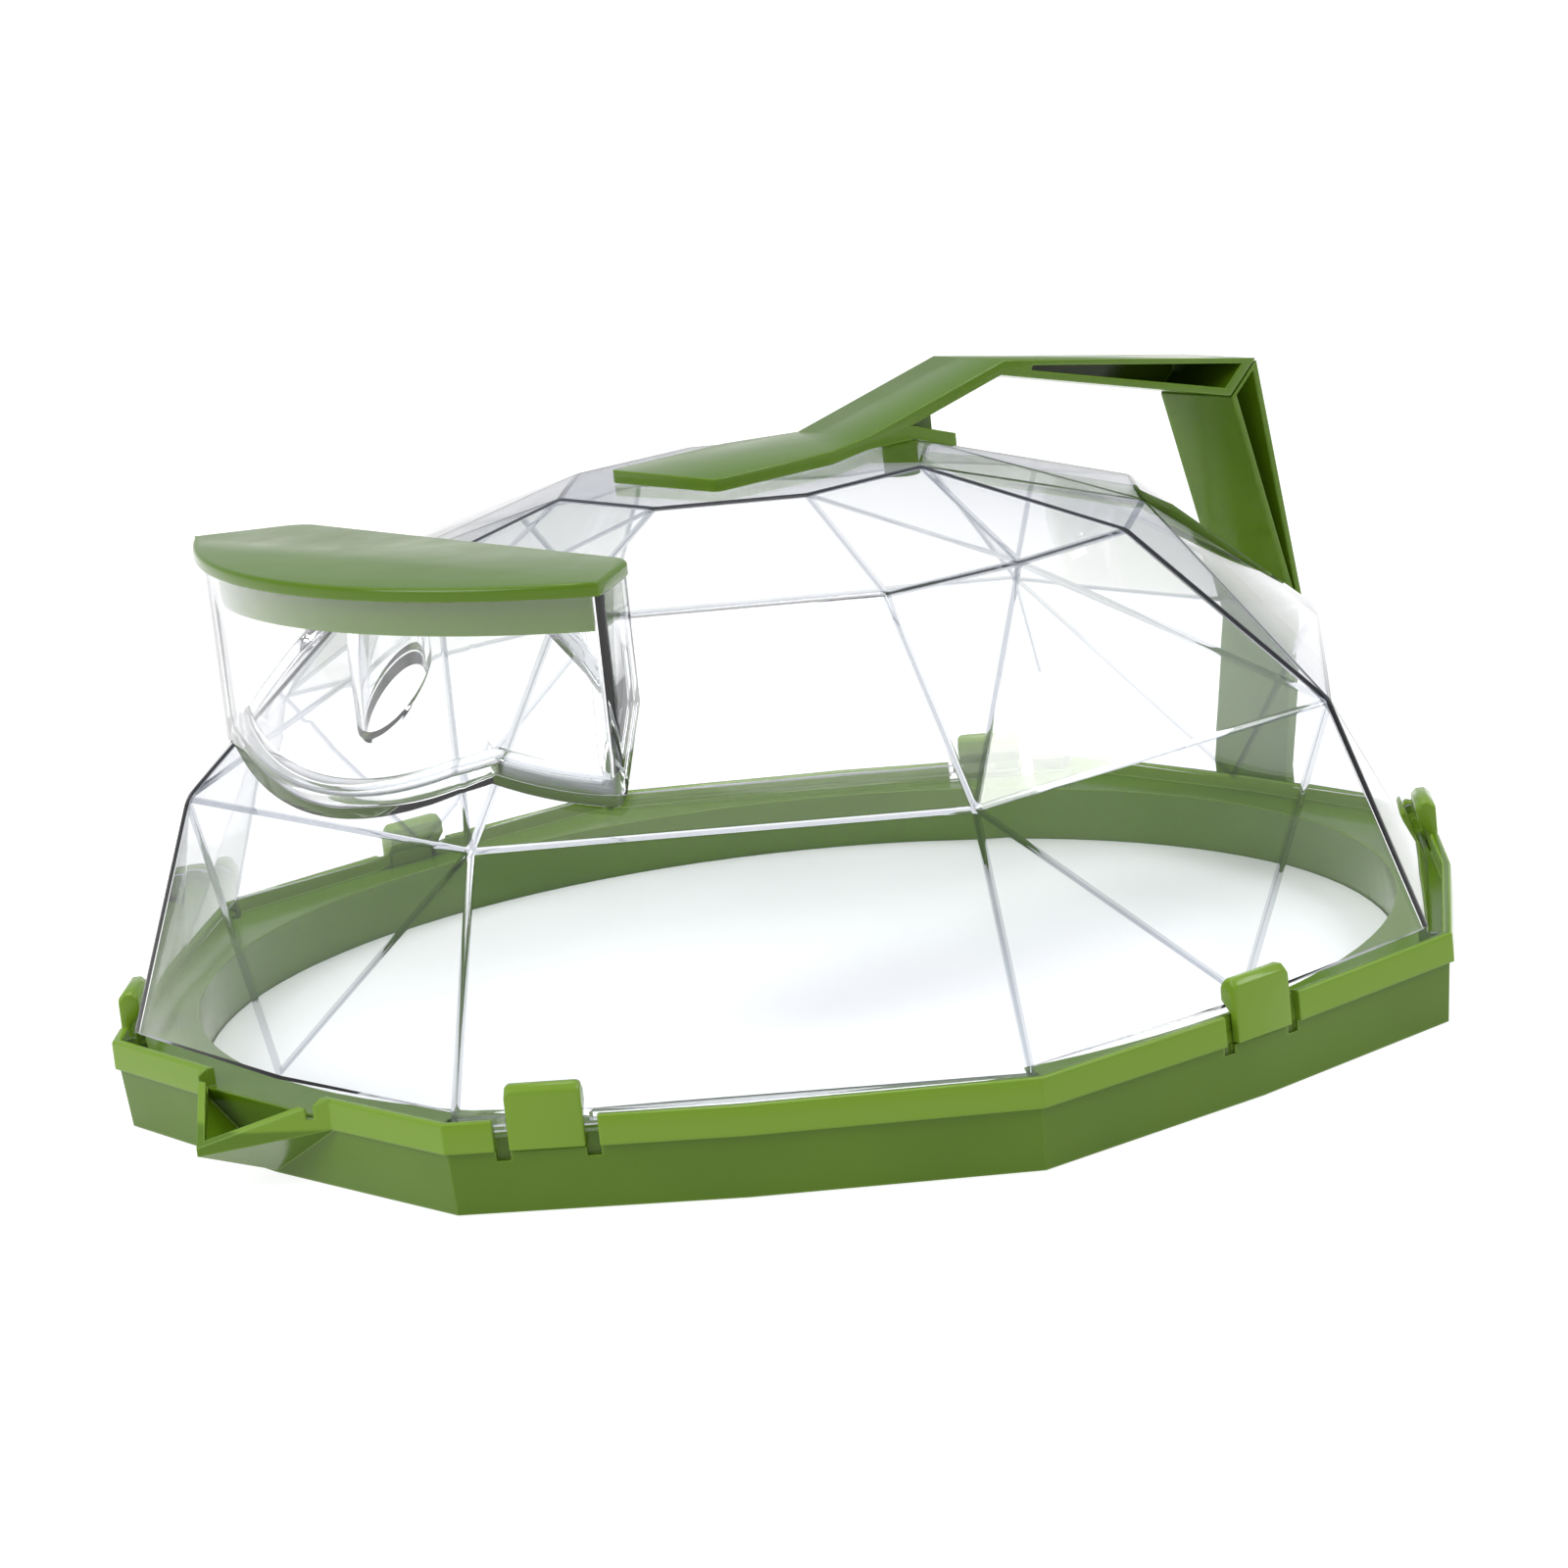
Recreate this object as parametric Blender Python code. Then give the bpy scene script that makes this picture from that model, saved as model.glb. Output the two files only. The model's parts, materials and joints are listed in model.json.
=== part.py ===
"""Octagonal play tray with a pouring spout, a faceted clear cover, a lidded side cup and a folded carry handle.

Metres, +Z up. The origin is on the table under the middle of the tray. The handle and the spout lie in
the XZ plane: the handle's foot is at +X and the spout points to -X.
"""

import math

import bmesh
import bpy
from mathutils import Matrix, Vector

# Shared clearances
GAP = 0.0003  # between neighbouring pieces at rest
OVERSHOOT = 0.002  # how far a cutter runs past the surface that it cuts

# Tray. A "flat" is the distance from the axis to the middle of a side, before the side bends outwards.
SIDES = 8
TRAY_FLAT = 0.1500
SIDE_BEND = 0.0029  # how far the middle of each side stands out
TRAY_HEIGHT = 0.0204
WALL = 0.0022
LIP_HEIGHT = 0.0066
LIP_OVERHANG = 0.0010
WALL_DRAFT = 0.0012  # how far the wall leans in from the lip down to the table
LIP_ROUND = 0.0006
DECK_BELOW_RIM = 0.0042
DECK_THICKNESS = 0.0020
WELL_RADIUS = 0.1395
WELL_WALL = 0.0020
BASE_THICKNESS = 0.0014
FLOOR_SHEET = 0.0012
WELL_SEGMENTS = 96

# Spout
SPOUT_HALF_WIDTH = 0.0245
SPOUT_REACH = 0.0175  # tip beyond the rim
SPOUT_DROP = 0.0096  # tip below the rim
SPOUT_WALL = 0.0018
SPOUT_KEEL = 0.0005  # lowest point of the keel above the table

# Snap clips
CLIP_COUNT = 6
CLIP_FIRST_ANGLE = 30.0
CLIP_WIDTH = 0.0160
CLIP_RISE = 0.0071  # above the rim
CLIP_SLOT = 0.0031
CLIP_SLOT_DEPTH = 0.0023  # below the lip
CLIP_HOOK_REACH = 0.0024
CLIP_HOOK_HEIGHT = 0.0062
CLIP_CHAMFER = 0.0013
CLIP_CORNER = 0.0022

# Clear cover, as rings of its outer surface: flat, bend and height
COVER_WALL = 0.0020
COVER_FLAT = 0.1451
COVER_BEND = 0.0023
COVER_BASE_ABOVE_RIM = 0.0010
SHOULDER_FLAT = 0.1279
SHOULDER_HEIGHT = 0.0726
BROW_FLAT = 0.0865
BROW_BEND = 0.0034
BROW_HEIGHT = 0.1115
CROWN_FLAT = 0.0412
CROWN_HEIGHT = 0.12665
PLAIN_SIDES = (45, 225)  # sides, in degrees, where the cover has no bends
FLANGE_REACH = 0.0022
FLANGE_THICKNESS = 0.0018
FLANGE_BELOW_RIM = 0.0002

# Side cup and its drop tube
CUP_ARC_CENTRE = 0.0123  # towards -X
CUP_ARC_RADIUS = 0.1150
CUP_HALF_ANGLE = 35.8
CUP_BACK = 0.0840
CUP_WALL = 0.0024
CUP_CORNER = 0.0030
CUP_ARC_SEGMENTS = 24
CORNER_SEGMENTS = 5
LID_HEIGHT = 0.1262  # top of the lid
LID_THICKNESS = 0.0030
LID_OVERHANG = 0.0020  # over the cup's arc and back
LID_SIDE_OVERHANG = 0.0004
LID_CORNER = 0.0060
LID_ROUND = 0.0009
LID_SKIRT = 0.0016
LID_SKIRT_DEPTH = 0.0080
TUBE_PLACE = 0.1042
TUBE_RADIUS = 0.0089
TUBE_WALL = 0.0015
TUBE_SEGMENTS = 40

# Handle, whose outlines lie in the XZ plane
HANDLE_WIDTH = 0.0250
STRAP_THICKNESS = 0.0022
PAD_THICKNESS = 0.0030
PAD_HALF_WIDTH = 0.0192
PAD_CORNER = 0.0020
PAD_START = -0.0245
PAD_NECK_START = 0.0100
STRAP_START = 0.0270
TONGUE_END = 0.0540
POST_START = 0.0455
POST_END = 0.0525
POST_HALF_WIDTH = 0.0060
CREST_PLACE = 0.0714
CREST_HEIGHT = 0.1403
CREST_UNDER_PLACE = 0.0700
CREST_UNDER_HEIGHT = 0.1369
ELBOW_PLACE = 0.1547
ELBOW_HEIGHT = 0.1264
ELBOW_INNER_PLACE = 0.1450
ELBOW_INNER_HEIGHT = 0.1186
GRIP_TOP_WALL = 0.0013
GRIP_UNDER_WALL = 0.0018
GRIP_WEB = 0.0026
GRIP_SOLID_END = 0.0093
LEG_WALL = 0.0018
LEG_WEB = 0.0010
LEG_SOLID_END = 0.0060
KNEE_REACH = 0.0117  # knee beyond the rim
KNEE_HEIGHT = 0.0600
FOOT_THICKNESS = 0.0030
FOOT_DEPTH = 0.0110  # foot below the rim
MITRE_GAP = 0.0006
BOSS_PLACE = 0.0470
BOSS_RADIUS = 0.0042
BOSS_LENGTH = 0.0110

# Values that follow from the ones above
CORNER = math.pi / SIDES
LIP_BOTTOM = TRAY_HEIGHT - LIP_HEIGHT
DECK_HEIGHT = TRAY_HEIGHT - DECK_BELOW_RIM
BODY_FLAT = TRAY_FLAT - LIP_OVERHANG
INNER_FLAT = TRAY_FLAT - WALL
RIM_END = TRAY_FLAT + SIDE_BEND
HALF_SIDE = TRAY_FLAT * math.tan(CORNER)
COVER_BASE = TRAY_HEIGHT + COVER_BASE_ABOVE_RIM
CUP_TOP = LID_HEIGHT - LID_THICKNESS - GAP
TUBE_BORE = TUBE_RADIUS - TUBE_WALL
HANDLE_HALF = HANDLE_WIDTH / 2
PAD_TOP = CROWN_HEIGHT + GAP + PAD_THICKNESS
CROWN_SLOPE = (CROWN_HEIGHT - BROW_HEIGHT) / (BROW_FLAT + BROW_BEND - CROWN_FLAT)

GREEN = (0.105, 0.235, 0.022)


# ---------------------------------------------------------------- helpers


def clear_scene():
    for obj in list(bpy.data.objects):
        bpy.data.objects.remove(obj, do_unlink=True)


def make_material(name, colour, roughness, alpha=1.0):
    material = bpy.data.materials.new(name)
    material.use_nodes = True
    shader = material.node_tree.nodes["Principled BSDF"]
    shader.inputs["Base Color"].default_value = (*colour, 1.0)
    shader.inputs["Roughness"].default_value = roughness
    shader.inputs["Metallic"].default_value = 0.0
    shader.inputs["Alpha"].default_value = alpha
    material.diffuse_color = (*colour, alpha)
    return material


def make_object(name, mesh_builder, material=None):
    """Link a new object that holds the bmesh, with its normals facing out."""
    bmesh.ops.recalc_face_normals(mesh_builder, faces=mesh_builder.faces)
    mesh = bpy.data.meshes.new(name)
    mesh_builder.to_mesh(mesh)
    mesh_builder.free()
    obj = bpy.data.objects.new(name, mesh)
    bpy.context.scene.collection.objects.link(obj)
    if material:
        mesh.materials.append(material)
    return obj


def boolean(target, tool, operation):
    """Apply one exact Boolean to the target and remove the tool."""
    modifier = target.modifiers.new(operation.title(), "BOOLEAN")
    modifier.operation = operation
    modifier.solver = "EXACT"
    modifier.object = tool
    bpy.context.view_layer.objects.active = target
    bpy.ops.object.modifier_apply(modifier=modifier.name)
    bpy.data.objects.remove(tool, do_unlink=True)


def smooth_round_faces(obj):
    bpy.ops.object.select_all(action="DESELECT")
    obj.select_set(True)
    bpy.context.view_layer.objects.active = obj
    bpy.ops.object.shade_smooth_by_angle(angle=math.radians(25))


def ring(flat, bend, height, plain_sides=()):
    """Side middles and corners of one octagonal ring. The even ones are the middles."""
    points = []
    for number in range(2 * SIDES):
        angle = number * CORNER
        if number % 2:
            radius = flat / math.cos(CORNER)
        elif round(math.degrees(angle)) in plain_sides:
            radius = flat
        else:
            radius = flat + bend
        points.append(Vector((radius * math.cos(angle), radius * math.sin(angle), height)))
    return points


def loft(name, rings, material=None):
    """Closed solid through the rings, from its first cap to its last.

    Where one ring bends and the next runs straight, each side is cut from the bent ring's middle to the
    straight ring's corners, so that every facet is flat.
    """
    builder = bmesh.new()
    loops = [[builder.verts.new(point) for point in points] for points in rings]
    count = len(loops[0])
    for lower, upper in zip(loops, loops[1:]):
        for number in range(count):
            after = (number + 1) % count
            quad = [lower[number], lower[after], upper[after], upper[number]]
            lower_stands_out = side_bend(lower, number, after) >= side_bend(upper, number, after)
            starts_at_corner = number % 2 == 1
            if lower_stands_out == starts_at_corner:
                builder.faces.new([quad[0], quad[1], quad[3]])
                builder.faces.new([quad[1], quad[2], quad[3]])
            else:
                builder.faces.new([quad[0], quad[1], quad[2]])
                builder.faces.new([quad[0], quad[2], quad[3]])
    builder.faces.new(loops[0])
    builder.faces.new(loops[-1])
    return make_object(name, builder, material)


def side_bend(loop, number, after):
    """How far the side middle of this pair stands out from its side's flat."""
    corner, middle = (number, after) if number % 2 else (after, number)
    return loop[middle].co.xy.length - loop[corner].co.xy.length * math.cos(CORNER)


def prism(name, outline, low, high, material=None):
    """Upright solid with the given XY outline."""
    builder = bmesh.new()
    face = builder.faces.new([builder.verts.new((x, y, low)) for x, y in outline])
    moved = bmesh.ops.extrude_face_region(builder, geom=[face])["geom"]
    top = [item for item in moved if isinstance(item, bmesh.types.BMVert)]
    bmesh.ops.translate(builder, verts=top, vec=(0, 0, high - low))
    return make_object(name, builder, material)


def side_plate(name, outline, half_width, material=None):
    """Solid with the given XZ outline, centred on the XZ plane."""
    builder = bmesh.new()
    face = builder.faces.new([builder.verts.new((x, -half_width, z)) for x, z in outline])
    moved = bmesh.ops.extrude_face_region(builder, geom=[face])["geom"]
    far = [item for item in moved if isinstance(item, bmesh.types.BMVert)]
    bmesh.ops.translate(builder, verts=far, vec=(0, 2 * half_width, 0))
    return make_object(name, builder, material)


def cylinder(name, radius, low, high, segments, place=0.0, material=None):
    builder = bmesh.new()
    centre = Matrix.Translation((place, 0, (low + high) / 2))
    bmesh.ops.create_cone(
        builder,
        cap_ends=True,
        segments=segments,
        radius1=radius,
        radius2=radius,
        depth=high - low,
        matrix=centre,
    )
    return make_object(name, builder, material)


def hull(name, points, material=None):
    builder = bmesh.new()
    verts = [builder.verts.new(point) for point in points]
    bmesh.ops.convex_hull(builder, input=verts)
    return make_object(name, builder, material)


def block(name, frame, low, high):
    """Box between two corners, given in the axes of the frame."""
    builder = bmesh.new()
    size = [b - a for a, b in zip(low, high)]
    middle = [(a + b) / 2 for a, b in zip(low, high)]
    bmesh.ops.create_cube(builder, size=1.0)
    bmesh.ops.scale(builder, vec=size, verts=builder.verts)
    bmesh.ops.translate(builder, vec=middle, verts=builder.verts)
    bmesh.ops.transform(builder, matrix=frame, verts=builder.verts)
    return make_object(name, builder)


def inset(outline, distances):
    """Convex outline with each edge moved inwards by its distance, or outwards if it is negative.

    An edge's distance has the number of the corner that it starts from. One number moves every edge.
    """
    points = [Vector(point) for point in outline]
    if isinstance(distances, float):
        distances = [distances] * len(points)
    area = sum(a.cross(b) for a, b in zip(points, points[1:] + points[:1]))
    side = math.copysign(1, area)
    lines = []
    for start, end, distance in zip(points, points[1:] + points[:1], distances):
        way = (end - start).normalized()
        shift = Vector((-way.y, way.x)) * side * distance
        lines.append((start + shift, end + shift))
    return [meeting_point(lines[number - 1], lines[number]) for number in range(len(lines))]


def rounded(outline, corners, radius):
    """Outline with the corners of these numbers replaced by arcs."""
    points = [Vector(point) for point in outline]
    result = []
    for number, point in enumerate(points):
        if number not in corners:
            result.append(point)
            continue
        before = (points[number - 1] - point).normalized()
        after = (points[(number + 1) % len(points)] - point).normalized()
        half_angle = before.angle(after) / 2
        centre = point + (before + after).normalized() * radius / math.sin(half_angle)
        start = point + before * radius / math.tan(half_angle) - centre
        turn = start.angle_signed(point + after * radius / math.tan(half_angle) - centre)
        for step in range(CORNER_SEGMENTS + 1):
            arm = start.copy()
            arm.rotate(Matrix.Rotation(-turn * step / CORNER_SEGMENTS, 2))
            result.append(centre + arm)
    return result


def meeting_point(first, second):
    """Where two XZ lines cross, each given by two points."""
    start, end = (Vector(point) for point in first)
    other, other_end = (Vector(point) for point in second)
    way = end - start
    other_way = other_end - other
    return start + way * ((other - start).cross(other_way) / way.cross(other_way))


def offset_profile(profile, distance):
    """Open XZ profile moved to its left by the distance, with its corners kept sharp."""
    points = [Vector(point) for point in profile]
    lines = []
    for start, end in zip(points, points[1:]):
        way = (end - start).normalized()
        shift = Vector((-way.y, way.x)) * distance
        lines.append((start + shift, end + shift))
    moved = [lines[0][0]]
    for first, second in zip(lines, lines[1:]):
        moved.append(meeting_point(first, second))
    moved.append(lines[-1][1])
    return moved


# ---------------------------------------------------------------- tray


def clip_frames():
    """A frame on the lip's outer face for each clip: X points out, Y along the rim, Z up."""
    frames = []
    for number in range(CLIP_COUNT):
        azimuth = math.radians(CLIP_FIRST_ANGLE + number * 360 / CLIP_COUNT)
        side = round(azimuth / (2 * CORNER)) * 2 * CORNER
        off_centre = azimuth - side
        lean = math.atan2(SIDE_BEND, HALF_SIDE)
        if abs(off_centre) < lean:
            facing = side
            distance = RIM_END
        else:
            facing = side + math.copysign(lean, off_centre)
            distance = lip_distance(TRAY_FLAT * math.tan(off_centre))
        distance = distance / math.cos(off_centre)
        place = Vector((distance * math.cos(azimuth), distance * math.sin(azimuth), 0))
        frames.append(Matrix.Translation(place) @ Matrix.Rotation(facing, 4, "Z"))
    return frames


def cut_clip_windows(tray, frames):
    """Room for each clip in the wall, with a deeper slot on each side of it."""
    half = CLIP_WIDTH / 2
    end = half + CLIP_SLOT
    foot = LIP_BOTTOM - CLIP_SLOT_DEPTH
    sill = LIP_BOTTOM - GAP
    top = TRAY_HEIGHT + OVERSHOOT
    outline = [(-end, foot), (-half, foot), (-half, sill), (half, sill), (half, foot), (end, foot)]
    outline += [(end, top), (-end, top)]
    for frame in frames:
        builder = bmesh.new()
        face = builder.faces.new([builder.verts.new((-WALL - GAP, y, z)) for y, z in outline])
        moved = bmesh.ops.extrude_face_region(builder, geom=[face])["geom"]
        outside = [item for item in moved if isinstance(item, bmesh.types.BMVert)]
        bmesh.ops.translate(builder, verts=outside, vec=(WALL + GAP + OVERSHOOT, 0, 0))
        bmesh.ops.transform(builder, matrix=frame, verts=builder.verts)
        boolean(tray, make_object("window", builder), "DIFFERENCE")


def lip_distance(along):
    """Distance from the axis to the lip's outer face, this far along a side from its middle."""
    return TRAY_FLAT + SIDE_BEND * (1 - abs(along) / HALF_SIDE)


def make_spout(tray):
    """A hollow prow on the -X side, with a sloping keel, open to the tray above the deck."""
    corner = lip_distance(SPOUT_HALF_WIDTH)
    tip = RIM_END + SPOUT_REACH
    tip_height = TRAY_HEIGHT - SPOUT_DROP
    slope = SPOUT_DROP / (tip - corner)
    half_angle = math.atan2(SPOUT_HALF_WIDTH, tip - corner)
    points = [(-tip, 0, tip_height), (-tip, 0, tip_height - SPOUT_WALL)]
    keel_root = BODY_FLAT - WALL_DRAFT + SIDE_BEND
    points += [(-keel_root, 0, SPOUT_KEEL), (-keel_root + WALL / 2, 0, SPOUT_KEEL)]
    for side in (-SPOUT_HALF_WIDTH, SPOUT_HALF_WIDTH):
        points.append((-corner, side, TRAY_HEIGHT))
        points.append((-corner, side, LIP_BOTTOM))
        points.append((-corner + WALL / 2, side, TRAY_HEIGHT))
        points.append((-corner + LIP_OVERHANG + WALL / 2, side, LIP_BOTTOM))
    boolean(tray, hull("prow", points), "UNION")

    mouth_half = SPOUT_HALF_WIDTH - SPOUT_WALL / math.cos(half_angle)
    pocket_tip = tip - SPOUT_WALL / math.sin(half_angle)
    pocket_back = BODY_FLAT + SIDE_BEND
    back_height = TRAY_HEIGHT + OVERSHOOT
    end_height = back_height - slope * (pocket_tip - pocket_back)
    points = [
        (-pocket_back, -mouth_half, back_height),
        (-pocket_back, mouth_half, back_height),
        (-pocket_back, -mouth_half, LIP_BOTTOM),
        (-pocket_back, mouth_half, LIP_BOTTOM),
        (-pocket_tip, 0, end_height),
        (-pocket_tip, 0, end_height - 2 * OVERSHOOT),
        (-pocket_back, 0, SPOUT_KEEL + SPOUT_WALL),
    ]
    boolean(tray, hull("pocket", points), "DIFFERENCE")
    mouth = block(
        "mouth",
        Matrix.Identity(4),
        (-RIM_END - OVERSHOOT, -mouth_half, DECK_HEIGHT),
        (-INNER_FLAT + OVERSHOOT, mouth_half, TRAY_HEIGHT + OVERSHOOT),
    )
    boolean(tray, mouth, "DIFFERENCE")


def make_tray(material, frames):
    outer_top = [
        (TRAY_FLAT, TRAY_HEIGHT - LIP_ROUND),
        (TRAY_FLAT - LIP_ROUND * (1 - math.sqrt(0.5)), TRAY_HEIGHT - LIP_ROUND * (1 - math.sqrt(0.5))),
        (TRAY_FLAT - LIP_ROUND, TRAY_HEIGHT),
    ]
    inner_top = [
        (INNER_FLAT + LIP_ROUND, TRAY_HEIGHT),
        (INNER_FLAT + LIP_ROUND * (1 - math.sqrt(0.5)), TRAY_HEIGHT - LIP_ROUND * (1 - math.sqrt(0.5))),
        (INNER_FLAT, TRAY_HEIGHT - LIP_ROUND),
    ]
    profile = [(BODY_FLAT - WALL_DRAFT, 0), (BODY_FLAT, LIP_BOTTOM), (TRAY_FLAT, LIP_BOTTOM)]
    profile += outer_top + inner_top + [(INNER_FLAT, DECK_HEIGHT)]
    tray = loft("tray_body", [ring(flat, SIDE_BEND, z) for flat, z in profile], material)

    well = cylinder("well", WELL_RADIUS, BASE_THICKNESS, TRAY_HEIGHT, WELL_SEGMENTS)
    boolean(tray, well, "DIFFERENCE")
    recess_flat = BODY_FLAT - WALL_DRAFT - WALL
    recess_rings = [
        ring(recess_flat, SIDE_BEND, -OVERSHOOT),
        ring(recess_flat, SIDE_BEND, DECK_HEIGHT - DECK_THICKNESS),
    ]
    recess = loft("recess", recess_rings)
    core = cylinder("core", WELL_RADIUS + WELL_WALL, -2 * OVERSHOOT, TRAY_HEIGHT, WELL_SEGMENTS)
    boolean(recess, core, "DIFFERENCE")
    boolean(tray, recess, "DIFFERENCE")
    make_spout(tray)
    cut_clip_windows(tray, frames)
    smooth_round_faces(tray)


def make_floor(material):
    low = BASE_THICKNESS + GAP
    floor = cylinder("tray_floor", WELL_RADIUS - GAP, low, low + FLOOR_SHEET, WELL_SEGMENTS, material=material)
    smooth_round_faces(floor)


def make_clip(name, frame, material):
    """A springy clip, flush with the lip, with a hook that reaches in over the cover's flange.

    Its origin is at its root, where it flexes.
    """
    root = LIP_BOTTOM
    top = TRAY_HEIGHT + CLIP_RISE
    hook = -WALL - CLIP_HOOK_REACH
    hook_low = top - CLIP_HOOK_HEIGHT
    outline = [
        (0, root),
        (0, top - CLIP_CHAMFER),
        (-CLIP_CHAMFER, top),
        (hook + CLIP_CHAMFER, top),
        (hook, top - CLIP_CHAMFER),
        (hook, hook_low + CLIP_CHAMFER),
        (-WALL, hook_low - CLIP_CHAMFER),
        (-WALL, root),
    ]
    builder = bmesh.new()
    half = CLIP_WIDTH / 2
    face = builder.faces.new([builder.verts.new((x, -half, z - root)) for x, z in outline])
    moved = bmesh.ops.extrude_face_region(builder, geom=[face])["geom"]
    far = [item for item in moved if isinstance(item, bmesh.types.BMVert)]
    bmesh.ops.translate(builder, verts=far, vec=(0, 2 * half, 0))
    ends = [edge for edge in builder.edges if edge_is_top_corner(edge, half, top - root)]
    bmesh.ops.bevel(builder, geom=ends, offset=CLIP_CORNER / 2, segments=3, affect="EDGES", profile=0.5)
    clip = make_object(name, builder, material)
    clip.matrix_world = frame @ Matrix.Translation((0, 0, root))


def edge_is_top_corner(edge, half, top):
    """True for the clip's top edges at its two ends."""
    first, second = (vert.co for vert in edge.verts)
    at_end = abs(abs(first.y) - half) < GAP / 10 and abs(first.y - second.y) < GAP / 10
    return at_end and min(first.z, second.z) > top - 1.1 * CLIP_CHAMFER


# ---------------------------------------------------------------- cover


def cover_profile():
    """Flat, bend and height of the cover's outer rings, from the base up to the crown."""
    return [
        (COVER_FLAT, COVER_BEND, COVER_BASE),
        (SHOULDER_FLAT, 0.0, SHOULDER_HEIGHT),
        (BROW_FLAT, BROW_BEND, BROW_HEIGHT),
        (CROWN_FLAT, 0.0, CROWN_HEIGHT),
    ]


def cover_rings(outwards, bottom):
    """The cover's outer surface moved outwards, or inwards if negative, from the bottom to the crown."""
    outer = cover_profile()
    section = [(COVER_FLAT, bottom)] + [(flat, z) for flat, bend, z in outer] + [(0.0, CROWN_HEIGHT)]
    moved = offset_profile(section, -outwards)
    bends = [COVER_BEND] + [bend for flat, bend, z in outer]
    return [ring(point.x, bend, point.y, PLAIN_SIDES) for point, bend in zip(moved, bends)]


def make_cover(material, frames):
    skirt_bottom = DECK_HEIGHT + GAP
    flange_top = TRAY_HEIGHT - FLANGE_BELOW_RIM
    flange_bottom = flange_top - FLANGE_THICKNESS
    outer = cover_rings(0.0, skirt_bottom)
    flange = [
        ring(COVER_FLAT, COVER_BEND, flange_bottom, PLAIN_SIDES),
        ring(COVER_FLAT + FLANGE_REACH, COVER_BEND, flange_bottom),
        ring(COVER_FLAT + FLANGE_REACH, COVER_BEND, flange_top),
        ring(COVER_FLAT, COVER_BEND, flange_top, PLAIN_SIDES),
    ]
    cover = loft("dome_cover", outer[:1] + flange + outer[1:], material)
    cavity = loft("cavity", cover_rings(-COVER_WALL, skirt_bottom - OVERSHOOT))
    boolean(cover, cavity, "DIFFERENCE")

    half = CLIP_WIDTH / 2 + 2 * GAP
    for frame in frames:
        notch = block(
            "notch",
            frame,
            (-WALL - CLIP_HOOK_REACH - GAP, -half, flange_bottom - GAP),
            (0, half, flange_top + GAP),
        )
        boolean(cover, notch, "DIFFERENCE")
    drop_hole = cylinder("drop_hole", TUBE_BORE, SHOULDER_HEIGHT, CROWN_HEIGHT, TUBE_SEGMENTS, -TUBE_PLACE)
    boolean(cover, drop_hole, "DIFFERENCE")
    boss_hole = cylinder(
        "boss_hole", BOSS_RADIUS + GAP, BROW_HEIGHT, CROWN_HEIGHT + GAP, TUBE_SEGMENTS, BOSS_PLACE
    )
    boolean(cover, boss_hole, "DIFFERENCE")


# ---------------------------------------------------------------- side cup


def cup_outline(grow=0.0, side_grow=None, corner=None):
    """The cup seen from above: an arc, two sides that fan out, and a straight back.

    The outline is grown by a margin, which can differ on the two sides.
    """
    if side_grow is None:
        side_grow = grow
    if corner is None:
        corner = max(CUP_CORNER + grow, 2 * GAP)
    half = math.radians(CUP_HALF_ANGLE)
    lean = math.asin(CUP_ARC_CENTRE * math.sin(half) / CUP_ARC_RADIUS)
    sweep = half + lean  # half the arc's angle, seen from its own centre
    outline = []
    for step in range(CUP_ARC_SEGMENTS + 1):
        angle = math.pi - sweep + 2 * sweep * step / CUP_ARC_SEGMENTS
        x = CUP_ARC_RADIUS * math.cos(angle) - CUP_ARC_CENTRE
        outline.append((x, CUP_ARC_RADIUS * math.sin(angle)))
    back_end = CUP_BACK * math.tan(half)
    outline += [(-CUP_BACK, -back_end), (-CUP_BACK, back_end)]
    distances = [-grow] * CUP_ARC_SEGMENTS + [-side_grow, -grow, -side_grow]
    corners = {0, CUP_ARC_SEGMENTS, CUP_ARC_SEGMENTS + 1, CUP_ARC_SEGMENTS + 2}
    return rounded(inset(outline, distances), corners, corner)


def make_cup(material):
    """The clear wall of the side cup, standing on the cover, which is its floor."""
    cup = prism("cup_wall", cup_outline(), COVER_BASE, CUP_TOP, material)
    inside = prism("inside", cup_outline(-CUP_WALL), COVER_BASE - OVERSHOOT, CUP_TOP + OVERSHOOT)
    boolean(cup, inside, "DIFFERENCE")
    boolean(cup, loft("seat", cover_rings(GAP, 0.0)), "DIFFERENCE")
    smooth_round_faces(cup)


def make_tube(material):
    """The clear tube that drops from the cup through the cover. It too stands on the cover."""
    tube = cylinder("drop_tube", TUBE_RADIUS, COVER_BASE, CUP_TOP, TUBE_SEGMENTS, -TUBE_PLACE, material)
    low = COVER_BASE - OVERSHOOT
    bore = cylinder("bore", TUBE_BORE, low, CUP_TOP + OVERSHOOT, TUBE_SEGMENTS, -TUBE_PLACE)
    boolean(tube, bore, "DIFFERENCE")
    boolean(tube, loft("seat", cover_rings(GAP, 0.0)), "DIFFERENCE")
    smooth_round_faces(tube)


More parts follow.
